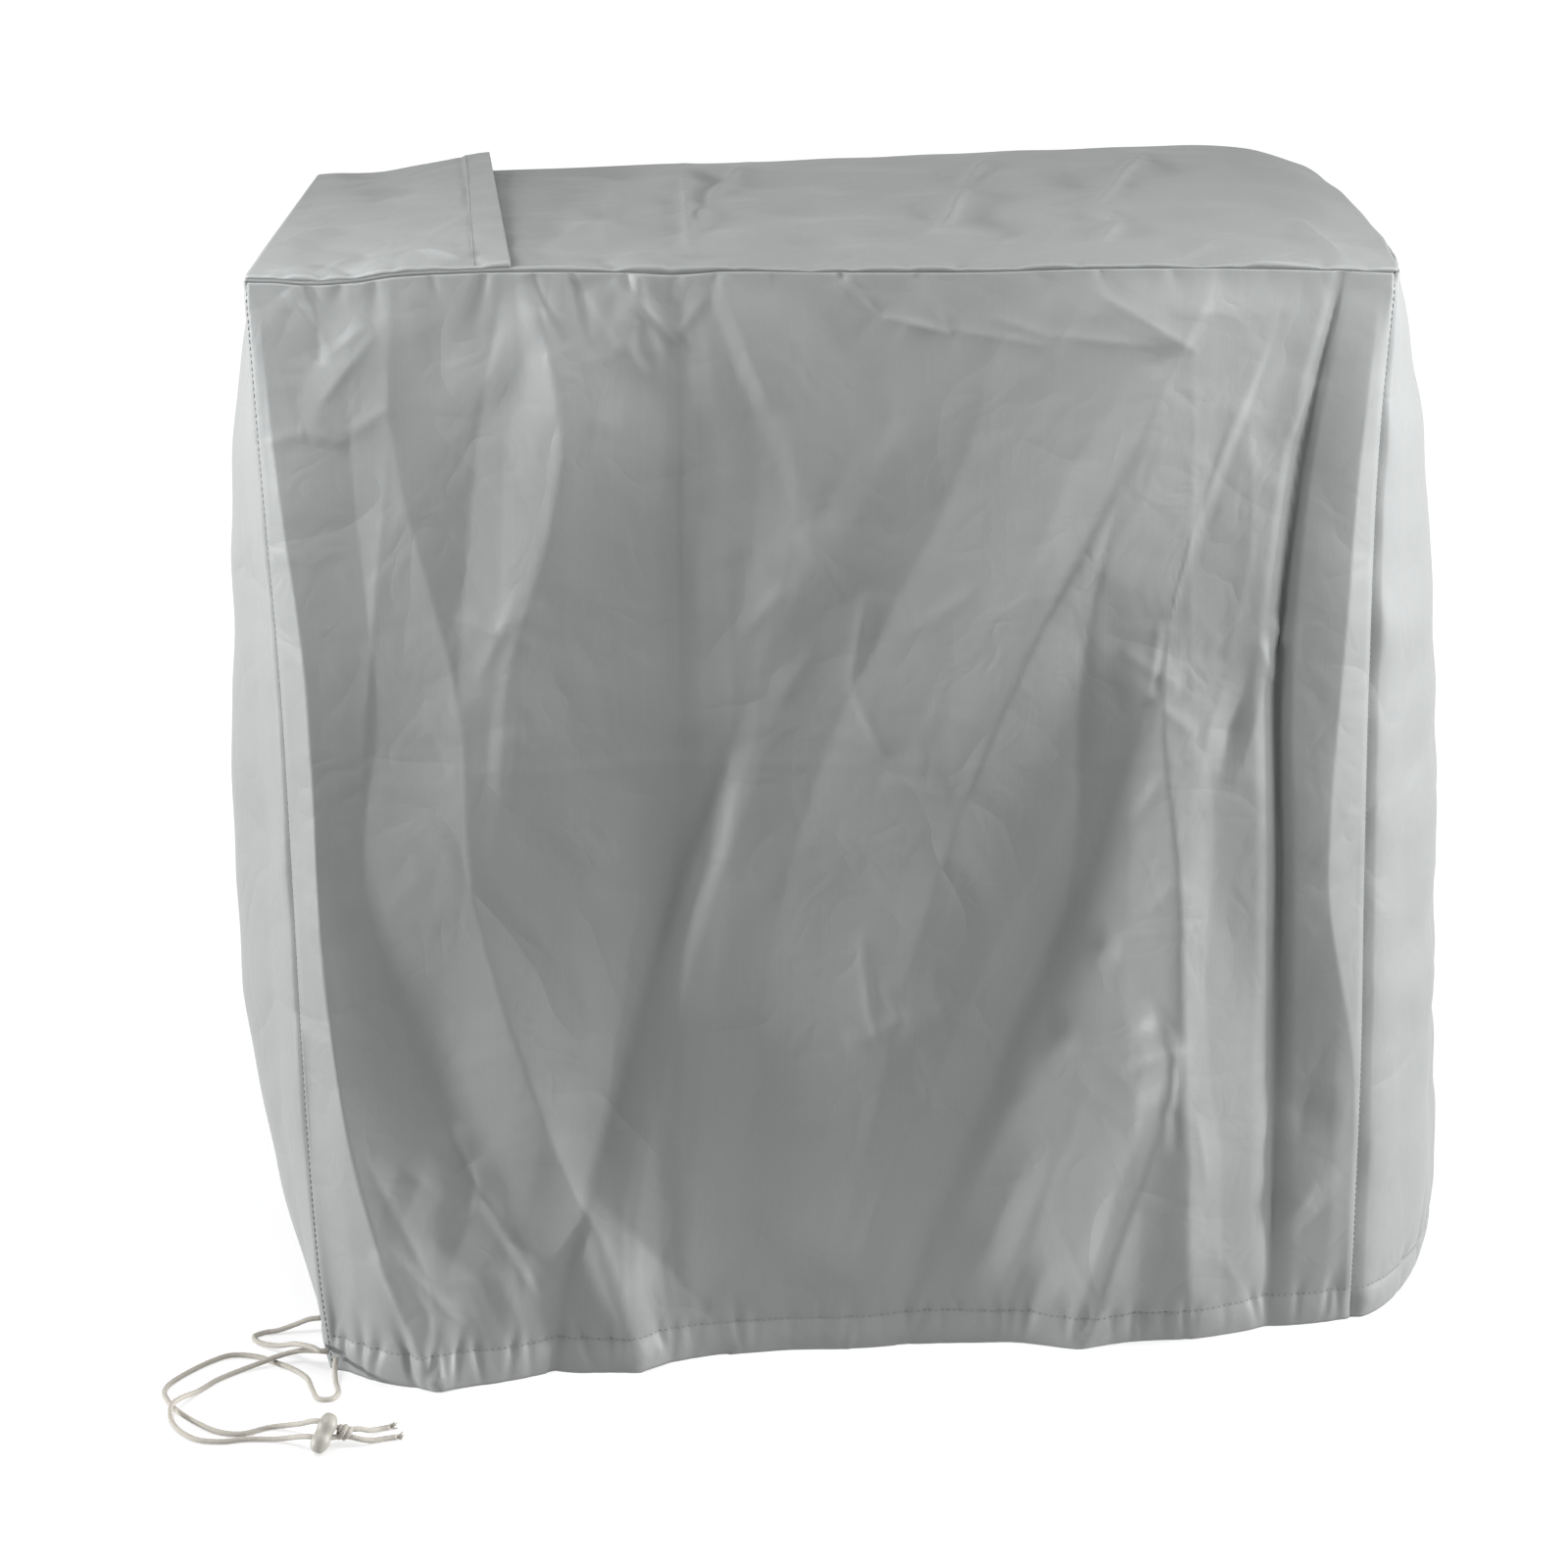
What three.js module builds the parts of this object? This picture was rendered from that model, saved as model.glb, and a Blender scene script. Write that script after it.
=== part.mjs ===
// Hose reel cover: a box of thin coated cloth that hangs over a hose reel.
//
// Five cut panels meet at the corner seams, and a short flap lies over the left end of the
// top. The lower edge of the four sides is a gathered casing, and its cord comes out at the
// front left corner and runs through a small lock to a knot.
//
// Millimetres, +Z up. The front faces -Y. The origin is the middle of the underside of the
// top, where the reel carries the cover.

import * as THREE from "three";

// Driving dimensions of the cover
const WIDTH = 600;
const DEPTH = 350;
const HEIGHT = 620;
const SHEET = 1.6;
const SEAM_GAP = 0.22;

// Grid of each panel: how many cells run along the width, depth and height of the cover,
// and how far the upright rows crowd towards the corners, where the folds are narrow
const CELLS_WIDE = 36;
const CELLS_DEEP = 14;
const CELLS_HIGH = 32;
const BACK_CELLS_WIDE = 18;
const BACK_CELLS_HIGH = 18;
const CROWDING = 0.45;

// Heights below the top seam at which the tables of the side panels give their columns
const LEVELS = [0, 100, 220, 340, 460, 560, 620];

// Where the four corner seams run, at each level
const SEAMS = {
  frontLeft: {
    x: [-300, -299, -297, -298, -299, -297, -292],
    y: [-175, -172, -170, -170, -173, -180, -185],
  },
  frontRight: {
    x: [299, 293, 292, 293, 295, 295, 295],
    y: [-175, -173, -170, -168, -165, -160, -154],
  },
  backLeft: { x: [-300, -300, -300, -300, -300, -300, -300], y: [175, 175, 175, 175, 175, 175, 175] },
  backRight: { x: [300, 300, 300, 300, 300, 300, 300], y: [175, 175, 175, 175, 175, 175, 175] },
};

// Height of the outer edge of the top along its front and back seams, from left to right
const TOP_SEAMS = {
  front: { x: [-300, -220, -160, -70, 80, 200, 300], z: [5, 4, 7, 4, 1, 0, -5] },
  back: { x: [-300, -200, -100, 0, 200, 262, 300], z: [0, 1, 2, 3, 6, 4, -8] },
};

// How far the front panel stands forward of its seams: down its middle, and along its hem
const FRONT_BELLY = { level: LEVELS, forward: [0, 10, 15, 11, 6, 5, 6] };
const FRONT_HEM = {
  along: [0, 0.06, 0.12, 0.175, 0.23, 0.29, 0.36, 0.58, 0.81, 0.93, 1],
  forward: [0, 17, 26, 26, 18, 12, 10, 13, 14, 8, 0],
};
const HEM_BLEND = { start: 0.62, end: 0.98 };

// Cross-sections of a fold, from its crest at 0 to its foot at 1
const PROFILES = {
  crease: (t) => 1 - t,
  ridge: (t) => (1 - t) ** 2,
  swell: (t) => (1 - t * t) ** 2,
};

// Folds of the front panel. At each level: where the crest is, how far it rises towards the
// viewer, and how wide its two flanks are. The flanks' cross-sections are named beside them.
const FRONT_FOLDS = [
  {
    name: "left edge", left: "crease", right: "ridge",
    x: [-290, -286, -281, -282, -277, -255, -230], rise: [0, 5, 13, 15, 15, 11, 7],
    leftWidth: [10, 13, 16, 16, 22, 42, 62], rightWidth: [60, 60, 50, 46, 44, 40, 40],
  },
  {
    name: "left swag", left: "ridge", right: "ridge",
    x: [-222, -226, -205, -196, -166, -131, -108], rise: [0, 5, 11, 13, 11, 8, 6],
    leftWidth: [40, 44, 60, 70, 70, 50, 40], rightWidth: [40, 60, 80, 90, 80, 60, 40],
  },
  {
    name: "pull from the seam", left: "ridge", right: "ridge",
    x: [-164, -157, -168, -178, -185, -190, -190], rise: [3, 11, 8, 3, 0, 0, 0],
    leftWidth: [40, 60, 50, 50, 50, 50, 50], rightWidth: [40, 80, 90, 60, 40, 40, 40],
  },
  {
    name: "pressed line", left: "crease", right: "swell",
    x: [-50, -50, -52, -56, -68, -70, -66], rise: [1, 4, 5, 4, 4, 3, 2],
    leftWidth: [27, 29, 31, 33, 34, 30, 30], rightWidth: [50, 60, 60, 60, 60, 50, 50],
  },
  {
    name: "left crossing", left: "crease", right: "ridge",
    x: [-20, -20, -44, -80, -116, -147, -163], rise: [0, 0, 1, 4, 5, 6, 6],
    leftWidth: [26, 26, 26, 30, 34, 34, 34], rightWidth: [60, 60, 60, 90, 90, 70, 60],
  },
  {
    name: "middle pull", left: "ridge", right: "ridge",
    x: [-62, -20, -6, -6, -6, -6, -6], rise: [1, 4, 2, 0, 0, 0, 0],
    leftWidth: [30, 30, 40, 40, 40, 40, 40], rightWidth: [20, 30, 40, 40, 40, 40, 40],
  },
  {
    name: "right swell", left: "crease", right: "swell",
    x: [206, 176, 130, 96, 60, 30, 20], rise: [2, 17, 21, 13, 4, 0, 0],
    leftWidth: [170, 156, 150, 120, 110, 100, 100], rightWidth: [50, 56, 80, 90, 90, 90, 90],
  },
  {
    name: "right swag", left: "crease", right: "crease",
    x: [254, 206, 177, 186, 190, 195, 199], rise: [0, 6, 13, 20, 22, 20, 15],
    leftWidth: [30, 30, 14, 52, 88, 128, 166], rightWidth: [20, 42, 60, 52, 50, 46, 42],
  },
  {
    name: "right pleat", left: "swell", right: "swell",
    x: [274, 252, 238, 239, 241, 242, 242], rise: [-2, -11, -10, -8, -6, -4, -3],
    leftWidth: [22, 24, 26, 24, 22, 22, 22], rightWidth: [12, 18, 20, 20, 20, 20, 20],
  },
  {
    name: "right edge", left: "ridge", right: "crease",
    x: [286, 270, 257, 268, 286, 289, 289], rise: [0, 6, 11, 10, 4, 2, 1],
    leftWidth: [14, 16, 18, 28, 44, 44, 44], rightWidth: [12, 22, 35, 24, 9, 6, 6],
  },
  {
    name: "lower right crease", left: "ridge", right: "ridge",
    x: [190, 190, 190, 189, 180, 152, 133], rise: [0, 0, 0, 0, 2, 5, 5],
    leftWidth: [30, 30, 30, 30, 34, 40, 40], rightWidth: [40, 40, 40, 40, 20, 30, 36],
  },
];

// The two ends of the cover belly out, most at about half their depth
const LEFT_BULGE = { level: LEVELS, out: [0, 28, 41, 49, 47, 30, 9] };
const RIGHT_BULGE = { level: LEVELS, out: [0, 32, 47, 54, 57, 58, 20] };
const BACK_BULGE = { level: LEVELS, out: [0, 8, 12, 12, 10, 10, 6] };

// Soft upright folds of the hidden panels: place along the panel, rise and half width there
const LEFT_FOLDS = [
  { along: 0.2, rise: 6, width: 0.12 },
  { along: 0.52, rise: -5, width: 0.14 },
  { along: 0.8, rise: 7, width: 0.13 },
];
const RIGHT_FOLDS = [
  { along: 0.16, rise: 5, width: 0.1 },
  { along: 0.45, rise: -6, width: 0.15 },
  { along: 0.78, rise: 6, width: 0.14 },
];
const BACK_FOLDS = [
  { along: 0.14, rise: 8, width: 0.1 },
  { along: 0.36, rise: -7, width: 0.12 },
  { along: 0.57, rise: 9, width: 0.11 },
  { along: 0.82, rise: -6, width: 0.12 },
];

// Gathers of the casing: their spacing, how far they stand in and out, and where they begin
const GATHER = { spacing: 58, rise: 3, start: 0.9 };

// Flap over the left end of the top: its free edge at the front and back, and how far the
// back end of that edge lifts
const FLAP = { frontEnd: -161, backEnd: -194, clearance: 0.4, lift: 9, cellsWide: 8, cellsDeep: 14 };

// Crown and hollows of the top
const TOP_CROWN = { rise: 3, hollowX: -60, hollowRise: -3, hollowWide: 130, hollowDeep: 110 };

// Cord, lock and knot
const CORD = { diameter: 3, sides: 8, step: 9 };
const FLOOR = -HEIGHT;
const LOCK = { lobeRadius: 5.2, waist: 0.86, lobeSpacing: 11, centre: [-285.5, -277.8, 10.4], lean: 47, turn: 34.5 };
const KNOT = { radius: 4.8, centre: [-275.2, -273.7, 8.5] };

// Routes of the cords. Heights are those of the cord's middle above the floor.
const CORD_ROUTES = {
  draw_cord_front: [
    [-288.2, -188.3, 8.6], [-288.2, -195.5, 7.4], [-287, -206, 4], [-284.6, -216, 1.8], [-287.6, -223, 1.7],
    [-294.6, -222.6, 1.7], [-299.4, -212, 1.7], [-304, -198, 1.7], [-312, -187.5, 1.7], [-324, -178, 1.7], [-337, -169.5, 1.7],
    [-351, -167.5, 1.7], [-361, -174, 1.7], [-375, -190, 1.7], [-382, -202, 1.7], [-383, -210, 1.7],
    [-379.5, -220, 1.7], [-374, -230, 1.7], [-361, -245, 1.7], [-346, -257.5, 1.7], [-333, -260.5, 1.7],
    [-319, -254, 1.7], [-309, -255.5, 3.6], [-300, -262.5, 8.2], [-294, -269.6, 13.2], [-289.4, -273.2, 15.4],
  ],
  draw_cord_side: [
    [-294.1, -181.2, 9.6], [-302, -178.8, 9.2], [-311, -176.5, 8], [-322, -178, 6], [-333, -181.5, 3.4],
    [-343, -186, 1.7], [-355, -197, 1.7], [-364, -210, 1.8], [-371.5, -222.5, 4.6], [-375.5, -232, 5.2],
    [-374, -244, 2.6], [-366, -257.5, 1.7], [-356, -266, 1.7], [-343, -268.5, 1.7], [-330, -266.5, 1.7],
    [-314, -267.8, 2], [-305, -271, 4.4], [-299, -275.6, 7.4], [-292.8, -279.2, 9.2],
  ],
  draw_cord_bight: [
    [-301.6, -139, 9.6], [-309, -139, 8.8], [-318, -138.6, 5.2], [-328, -139.4, 2.2], [-335.5, -140.6, 1.7],
    [-340.6, -145.4, 1.7], [-336.6, -152.4, 1.7], [-325, -162, 4.2], [-315, -170.5, 9.4], [-308, -179, 13],
    [-301, -184.6, 14], [-296.6, -187.6, 13.2], [-292.95, -184.8, 12.4],
  ],
  tail_front: [
    [-270.3, -271.7, 9], [-267, -269.4, 7.8], [-262.5, -264.4, 4], [-258, -259.6, 1.9], [-252, -257, 1.7],
  ],
  tail_side: [
    [-270.6, -275.1, 6], [-267, -275, 4.8], [-260.5, -272.6, 2.2], [-254, -270, 1.7], [-247, -268.4, 1.7],
  ],
};

// Colours read from the photo, with the finish of each material
const MATERIALS = {
  cloth: { color: 0xb4b8b8, roughness: 0.55, metalness: 0 },
  flap: { color: 0xb7bbbb, roughness: 0.55, metalness: 0 },
  cord: { color: 0xd8d3c8, roughness: 0.9, metalness: 0 },
  lock: { color: 0xd0cec4, roughness: 0.5, metalness: 0 },
};

const clamp01 = (t) => Math.min(1, Math.max(0, t));
const smooth = (t) => clamp01(t) ** 2 * (3 - 2 * clamp01(t));
const mix = (a, b, t) => a + (b - a) * t;
const crowd = (t) => mix(t, (1 - Math.cos(Math.PI * t)) / 2, CROWDING);

// A smooth curve through the values of one table column, read at a place along another
function column(places, values, at) {
  const last = places.length - 1;
  let cell = 0;
  while (cell < last - 1 && at > places[cell + 1]) cell += 1;
  const slope = (i) => {
    const before = Math.max(i - 1, 0);
    const after = Math.min(i + 1, last);
    return (values[after] - values[before]) / (places[after] - places[before]);
  };
  const span = places[cell + 1] - places[cell];
  const t = clamp01((at - places[cell]) / span);
  const fromStart = (2 * t ** 3 - 3 * t ** 2 + 1) * values[cell] + (t ** 3 - 2 * t ** 2 + t) * span * slope(cell);
  const fromEnd = (3 * t ** 2 - 2 * t ** 3) * values[cell + 1] + (t ** 3 - t ** 2) * span * slope(cell + 1);
  return fromStart + fromEnd;
}

// One fold's rise at a distance from its crest: negative to the left, positive to the right
function foldRise(fold, x, level) {
  const distance = x - column(LEVELS, fold.x, level);
  const side = distance < 0 ? "left" : "right";
  const width = column(LEVELS, fold[side + "Width"], level);
  const t = Math.min(1, Math.abs(distance) / width);
  return column(LEVELS, fold.rise, level) * PROFILES[fold[side]](t);
}

// Sum of the soft upright folds of a hidden panel
function softFolds(folds, along) {
  return folds.reduce((sum, fold) => {
    const t = Math.min(1, Math.abs(along - fold.along) / fold.width);
    return sum + fold.rise * PROFILES.swell(t);
  }, 0);
}

// In and out of the gathered casing, nothing at the corners and above its start
function gather(along, length, down) {
  const wave = Math.sin((2 * Math.PI * along * length) / GATHER.spacing + 2 * Math.sin(5 * along));
  const corner = Math.sin(Math.PI * along) ** 0.5;
  return GATHER.rise * wave * corner * smooth((down - GATHER.start) / (1 - GATHER.start));
}

// A place on a corner seam, at a share of its way down from the top
function cornerSeam(name, down) {
  const seam = SEAMS[name];
  const level = down * HEIGHT;
  const left = name.endsWith("Left");
  const side = name.startsWith("front") ? TOP_SEAMS.front : TOP_SEAMS.back;
  const top = left ? side.z[0] : side.z[side.z.length - 1];
  return new THREE.Vector3(column(LEVELS, seam.x, level), column(LEVELS, seam.y, level), mix(top, -HEIGHT, down));
}

// Outer face of the top: straight between its front and back seams, with a slight crown
function topPoint(along, back) {
  const x = mix(
    mix(SEAMS.frontLeft.x[0], SEAMS.frontRight.x[0], along),
    mix(SEAMS.backLeft.x[0], SEAMS.backRight.x[0], along),
    back,
  );
  const y = mix(SEAMS.frontLeft.y[0], SEAMS.backLeft.y[0], back);
  const rim = mix(
    column(TOP_SEAMS.front.x, TOP_SEAMS.front.z, x),
    column(TOP_SEAMS.back.x, TOP_SEAMS.back.z, x),
    back,
  );
  const inside = Math.sin(Math.PI * along) * Math.sin(Math.PI * back);
  const hollow = Math.exp(-(((x - TOP_CROWN.hollowX) / TOP_CROWN.hollowWide) ** 2) - (y / TOP_CROWN.hollowDeep) ** 2);
  return new THREE.Vector3(x, y, rim + TOP_CROWN.rise * inside ** 0.5 + TOP_CROWN.hollowRise * hollow * inside);
}

// Outer face of the front: the folds of the table on a slight belly, all of it nothing at
// the seams
function frontPoint(along, down) {
  const left = cornerSeam("frontLeft", down);
  const right = cornerSeam("frontRight", down);
  const level = down * HEIGHT;
  const x = mix(left.x, right.x, along);
  const top = column(TOP_SEAMS.front.x, TOP_SEAMS.front.z, mix(SEAMS.frontLeft.x[0], SEAMS.frontRight.x[0], along));
  const belly = mix(
    column(FRONT_BELLY.level, FRONT_BELLY.forward, level),
    column(FRONT_HEM.along, FRONT_HEM.forward, along),
    smooth((down - HEM_BLEND.start) / (HEM_BLEND.end - HEM_BLEND.start)),
  );
  const fromSeams = smooth((x - left.x) / 24) * smooth((right.x - x) / 18);
  const fromTop = smooth(level / 26);
  const folds = FRONT_FOLDS.reduce((sum, fold) => {
    const edge = fold.name === "left edge" || fold.name === "right edge";
    return sum + foldRise(fold, x, level) * (edge ? clamp01((x - left.x) / 4) * clamp01((right.x - x) / 4) : fromSeams);
  }, 0);
  const forward = belly * fromSeams + folds * fromTop + gather(along, WIDTH, down);
  return new THREE.Vector3(x, mix(left.y, right.y, along) - forward, mix(top, -HEIGHT, down));
}

// Outer face of an end of the cover, from its front seam to its back seam
function endPoint(side, along, down) {
  const leftEnd = side === "Left";
  const front = cornerSeam("front" + side, down);
  const back = cornerSeam("back" + side, down);
  const bulge = leftEnd ? LEFT_BULGE : RIGHT_BULGE;
  const folds = softFolds(leftEnd ? LEFT_FOLDS : RIGHT_FOLDS, along) * Math.sin(Math.PI * down) ** 0.5;
  const out = column(bulge.level, bulge.out, down * HEIGHT) * Math.sin(Math.PI * along) ** 0.85;
  const outward = (out + folds + gather(along, DEPTH, down)) * (leftEnd ? -1 : 1);
  const point = new THREE.Vector3().lerpVectors(front, back, along);
  point.x += outward;
  return point;
}

// Outer face of the back
function backPoint(along, down) {
  const left = cornerSeam("backLeft", down);
  const right = cornerSeam("backRight", down);
  const x = mix(left.x, right.x, along);
  const top = column(TOP_SEAMS.back.x, TOP_SEAMS.back.z, mix(SEAMS.backLeft.x[0], SEAMS.backRight.x[0], along));
  const out = column(BACK_BULGE.level, BACK_BULGE.out, down * HEIGHT) * Math.sin(Math.PI * along) ** 0.5;
  const folds = softFolds(BACK_FOLDS, along) * Math.sin(Math.PI * Math.min(down, 0.96)) ** 0.5;
  const y = mix(left.y, right.y, along) + out + folds + gather(along, WIDTH, down);
  return new THREE.Vector3(x, y, mix(top, -HEIGHT, down));
}

// Outer face of the flap, a little above the top, lifting towards the back of its free edge
function flapPoint(along, back) {
  const frontShare = (FLAP.frontEnd - SEAMS.frontLeft.x[0]) / (SEAMS.frontRight.x[0] - SEAMS.frontLeft.x[0]);
  const backShare = (FLAP.backEnd - SEAMS.backLeft.x[0]) / (SEAMS.backRight.x[0] - SEAMS.backLeft.x[0]);
  const point = topPoint(along * mix(frontShare, backShare, back), back);
  point.z += SHEET + FLAP.clearance + FLAP.lift * smooth((along - 0.35) / 0.65) * back ** 1.6;
  return point;
}

// A closed sheet with the given outer face. surface(u, v) gives the outer point; u runs to
// the right and v down as the face is seen from outside. At a sewn border the sheet is cut
// along the corner, so that it meets the next panel there with a fine gap: inward gives the
// directions that lead from each border into the cover.
function sheet(surface, cellsWide, cellsHigh, inward) {
  const points = [];
  for (let row = 0; row <= cellsHigh; row += 1) {
    for (let place = 0; place <= cellsWide; place += 1) {
      points.push(surface(place / cellsWide, row / cellsHigh));
    }
  }
  const at = (place, row) => {
    const column = Math.min(cellsWide, Math.max(0, place));
    return points[Math.min(cellsHigh, Math.max(0, row)) * (cellsWide + 1) + column];
  };
  const outer = [];
  const inner = [];
  for (let row = 0; row <= cellsHigh; row += 1) {
    for (let place = 0; place <= cellsWide; place += 1) {
      const across = at(place + 1, row).clone().sub(at(place - 1, row));
      const down = at(place, row + 1).clone().sub(at(place, row - 1));
      const step = across.cross(down).normalize();
      const borders = [];
      if (place === 0 && inward.start) borders.push(inward.start);
      if (place === cellsWide && inward.end) borders.push(inward.end);
      if (row === 0 && inward.top) borders.push(inward.top);
      if (row === cellsHigh && inward.bottom) borders.push(inward.bottom);
      const point = at(place, row).clone();
      if (borders.length > 0) {
        step.copy(inward.face);
        for (const border of borders) {
          step.add(border);
          point.addScaledVector(border, SEAM_GAP);
        }
      } else if (row === cellsHigh && inward.level) {
        step.z = 0;
        step.normalize();
      }
      if (row === cellsHigh && inward.level) step.z = 0;
      outer.push(point);
      inner.push(point.clone().addScaledVector(step, SHEET));
    }
  }
  return closedSheet(outer, inner, cellsWide, cellsHigh);
}

// Joins an outer and an inner grid of points, and the strips round their rims, to one body
function closedSheet(outer, inner, cellsWide, cellsHigh) {
  const count = outer.length;
  const positions = new Float32Array(count * 6);
  outer.concat(inner).forEach((point, i) => point.toArray(positions, i * 3));
  const index = (place, row) => row * (cellsWide + 1) + place;
  const faces = [];
  const quad = (a, b, c, d) => faces.push(a, b, c, a, c, d);
  for (let row = 0; row < cellsHigh; row += 1) {
    for (let place = 0; place < cellsWide; place += 1) {
      const a = index(place, row);
      const b = index(place, row + 1);
      const c = index(place + 1, row + 1);
      const d = index(place + 1, row);
      quad(a, b, c, d);
      quad(a + count, d + count, c + count, b + count);
    }
  }
  const rim = [];
  for (let place = 0; place < cellsWide; place += 1) rim.push(index(place, 0));
  for (let row = 0; row < cellsHigh; row += 1) rim.push(index(cellsWide, row));
  for (let place = cellsWide; place > 0; place -= 1) rim.push(index(place, cellsHigh));
  for (let row = cellsHigh; row > 0; row -= 1) rim.push(index(0, row));
  rim.forEach((from, i) => {
    const to = rim[(i + 1) % rim.length];
    quad(from, to, to + count, from + count);
  });
  const geometry = new THREE.BufferGeometry();
  geometry.setAttribute("position", new THREE.BufferAttribute(positions, 3));
  geometry.setIndex(faces);
  geometry.computeVertexNormals();
  return geometry;
}

const RIGHT = new THREE.Vector3(1, 0, 0);
const LEFT = new THREE.Vector3(-1, 0, 0);
const BACK = new THREE.Vector3(0, 1, 0);
const FRONT = new THREE.Vector3(0, -1, 0);
const DOWN = new THREE.Vector3(0, 0, -1);

function frontPanel() {
  const inward = { face: BACK, start: RIGHT, end: LEFT, top: DOWN, level: true };
  return sheet((u, v) => frontPoint(crowd(u), v), CELLS_WIDE, CELLS_HIGH, inward);
}

function backPanel() {
  const inward = { face: FRONT, start: LEFT, end: RIGHT, top: DOWN, level: true };
  return sheet((u, v) => backPoint(crowd(1 - u), v), BACK_CELLS_WIDE, BACK_CELLS_HIGH, inward);
}

function leftPanel() {
  const inward = { face: RIGHT, start: FRONT, end: BACK, top: DOWN, level: true };
  return sheet((u, v) => endPoint("Left", 1 - u, v), CELLS_DEEP, CELLS_HIGH, inward);
}

function rightPanel() {
  const inward = { face: LEFT, start: BACK, end: FRONT, top: DOWN, level: true };
  return sheet((u, v) => endPoint("Right", u, v), CELLS_DEEP, CELLS_HIGH, inward);
}

function topPanel() {
  const inward = { face: DOWN, start: RIGHT, end: LEFT, top: FRONT, bottom: BACK };
  return sheet((u, v) => topPoint(crowd(u), 1 - v), CELLS_WIDE, CELLS_DEEP, inward);
}

function topFlap() {
  return sheet((u, v) => flapPoint(u, 1 - v), FLAP.cellsWide, FLAP.cellsDeep, {});
}

// A round cord along its route, closed at both ends
function cord(route) {
  const curve = new THREE.CatmullRomCurve3(
    route.map(([x, y, height]) => new THREE.Vector3(x, y, FLOOR + height)),
    false,
    "centripetal",
  );
  const section = new THREE.Shape();
  for (let side = 0; side < CORD.sides; side += 1) {
    const angle = (2 * Math.PI * side) / CORD.sides;
    const x = (CORD.diameter / 2) * Math.cos(angle);
    const y = (CORD.diameter / 2) * Math.sin(angle);
    if (side === 0) section.moveTo(x, y);
    else section.lineTo(x, y);
  }
  section.closePath();
  const steps = Math.max(3, Math.round(curve.getLength() / CORD.step));
  return new THREE.ExtrudeGeometry(section, { steps, extrudePath: curve, bevelEnabled: false });
}

// The lock: two round lobes with a waist between them, turned about their common axis
function lockBody() {
  const profile = [];
  const rings = 18;
  const half = LOCK.lobeSpacing / 2 + LOCK.lobeRadius;
  for (let ring = 0; ring <= rings; ring += 1) {
    const angle = (Math.PI * ring) / rings;
    const along = -half * Math.cos(angle);
    const waist = mix(LOCK.waist, 1, smooth(Math.abs(along) / (LOCK.lobeSpacing / 2)));
    const radius = ring % rings === 0 ? 0 : LOCK.lobeRadius * Math.sin(angle) ** 0.7 * waist;
    profile.push(new THREE.Vector2(radius, along));
  }
  return new THREE.LatheGeometry(profile, 16);
}

function knotBody() {
  return new THREE.SphereGeometry(KNOT.radius, 14, 9);
}

function mesh(name, geometry, look) {
  const made = new THREE.Mesh(geometry, new THREE.MeshStandardMaterial({ side: THREE.DoubleSide, ...MATERIALS[look] }));
  made.name = name;
  return made;
}

function cloth() {
  const group = new THREE.Group();
  group.add(mesh("top_panel", topPanel(), "cloth"));
  group.add(mesh("front_panel", frontPanel(), "cloth"));
  group.add(mesh("back_panel", backPanel(), "cloth"));
  group.add(mesh("left_panel", leftPanel(), "cloth"));
  group.add(mesh("right_panel", rightPanel(), "cloth"));
  group.add(mesh("top_flap", topFlap(), "flap"));
  return group;
}

function drawCord() {
  const group = new THREE.Group();
  for (const [name, route] of Object.entries(CORD_ROUTES)) group.add(mesh(name, cord(route), "cord"));
  const lock = mesh("cord_lock", lockBody(), "lock");
  lock.position.set(LOCK.centre[0], LOCK.centre[1], FLOOR + LOCK.centre[2]);
  lock.rotation.order = "ZXY";
  lock.rotation.set(THREE.MathUtils.degToRad(LOCK.lean), 0, THREE.MathUtils.degToRad(-LOCK.turn));
  const knot = mesh("cord_knot", knotBody(), "cord");
  knot.position.set(KNOT.centre[0], KNOT.centre[1], FLOOR + KNOT.centre[2]);
  group.add(lock, knot);
  return group;
}

const cover = new THREE.Group();
cover.name = "hose_reel_cover";
cover.add(cloth(), drawCord());

export default cover;
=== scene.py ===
# %% [markdown]
# # A cover for a hose reel, in thin coated cloth
# The cover is a box of cloth that hangs over a reel: a top, four hanging panels, a short
# flap over the left end of the top, and a hem with a draw cord in it. Every piece below is
# a surface worked out with numpy from two parameters. All lengths in the tables are in
# millimetres, and they become metres where a mesh is made.

import bpy
import numpy as np
from mathutils import Matrix, Vector


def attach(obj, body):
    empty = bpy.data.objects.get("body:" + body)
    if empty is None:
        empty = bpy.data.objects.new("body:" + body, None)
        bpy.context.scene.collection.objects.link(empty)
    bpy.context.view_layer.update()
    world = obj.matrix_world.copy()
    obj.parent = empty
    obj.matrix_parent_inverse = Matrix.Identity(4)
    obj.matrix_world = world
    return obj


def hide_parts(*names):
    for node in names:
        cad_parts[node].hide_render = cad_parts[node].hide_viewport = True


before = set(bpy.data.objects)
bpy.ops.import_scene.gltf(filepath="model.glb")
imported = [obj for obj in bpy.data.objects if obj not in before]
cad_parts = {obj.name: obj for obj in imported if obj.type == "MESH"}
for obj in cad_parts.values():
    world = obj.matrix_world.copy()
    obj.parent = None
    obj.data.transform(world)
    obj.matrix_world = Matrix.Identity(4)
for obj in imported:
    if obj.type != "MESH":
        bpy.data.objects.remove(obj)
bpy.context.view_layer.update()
MM = 0.001
print("CAD nodes:", ", ".join(sorted(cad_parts)))

# %% [markdown]
# ## Camera
# The camera stands where the photograph was taken from, about two metres in front and a
# little above. Its place was fitted to the corners of the cover. The matrix is built from
# yaw, pitch and roll, because a track constraint can't hold the slight roll.

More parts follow.
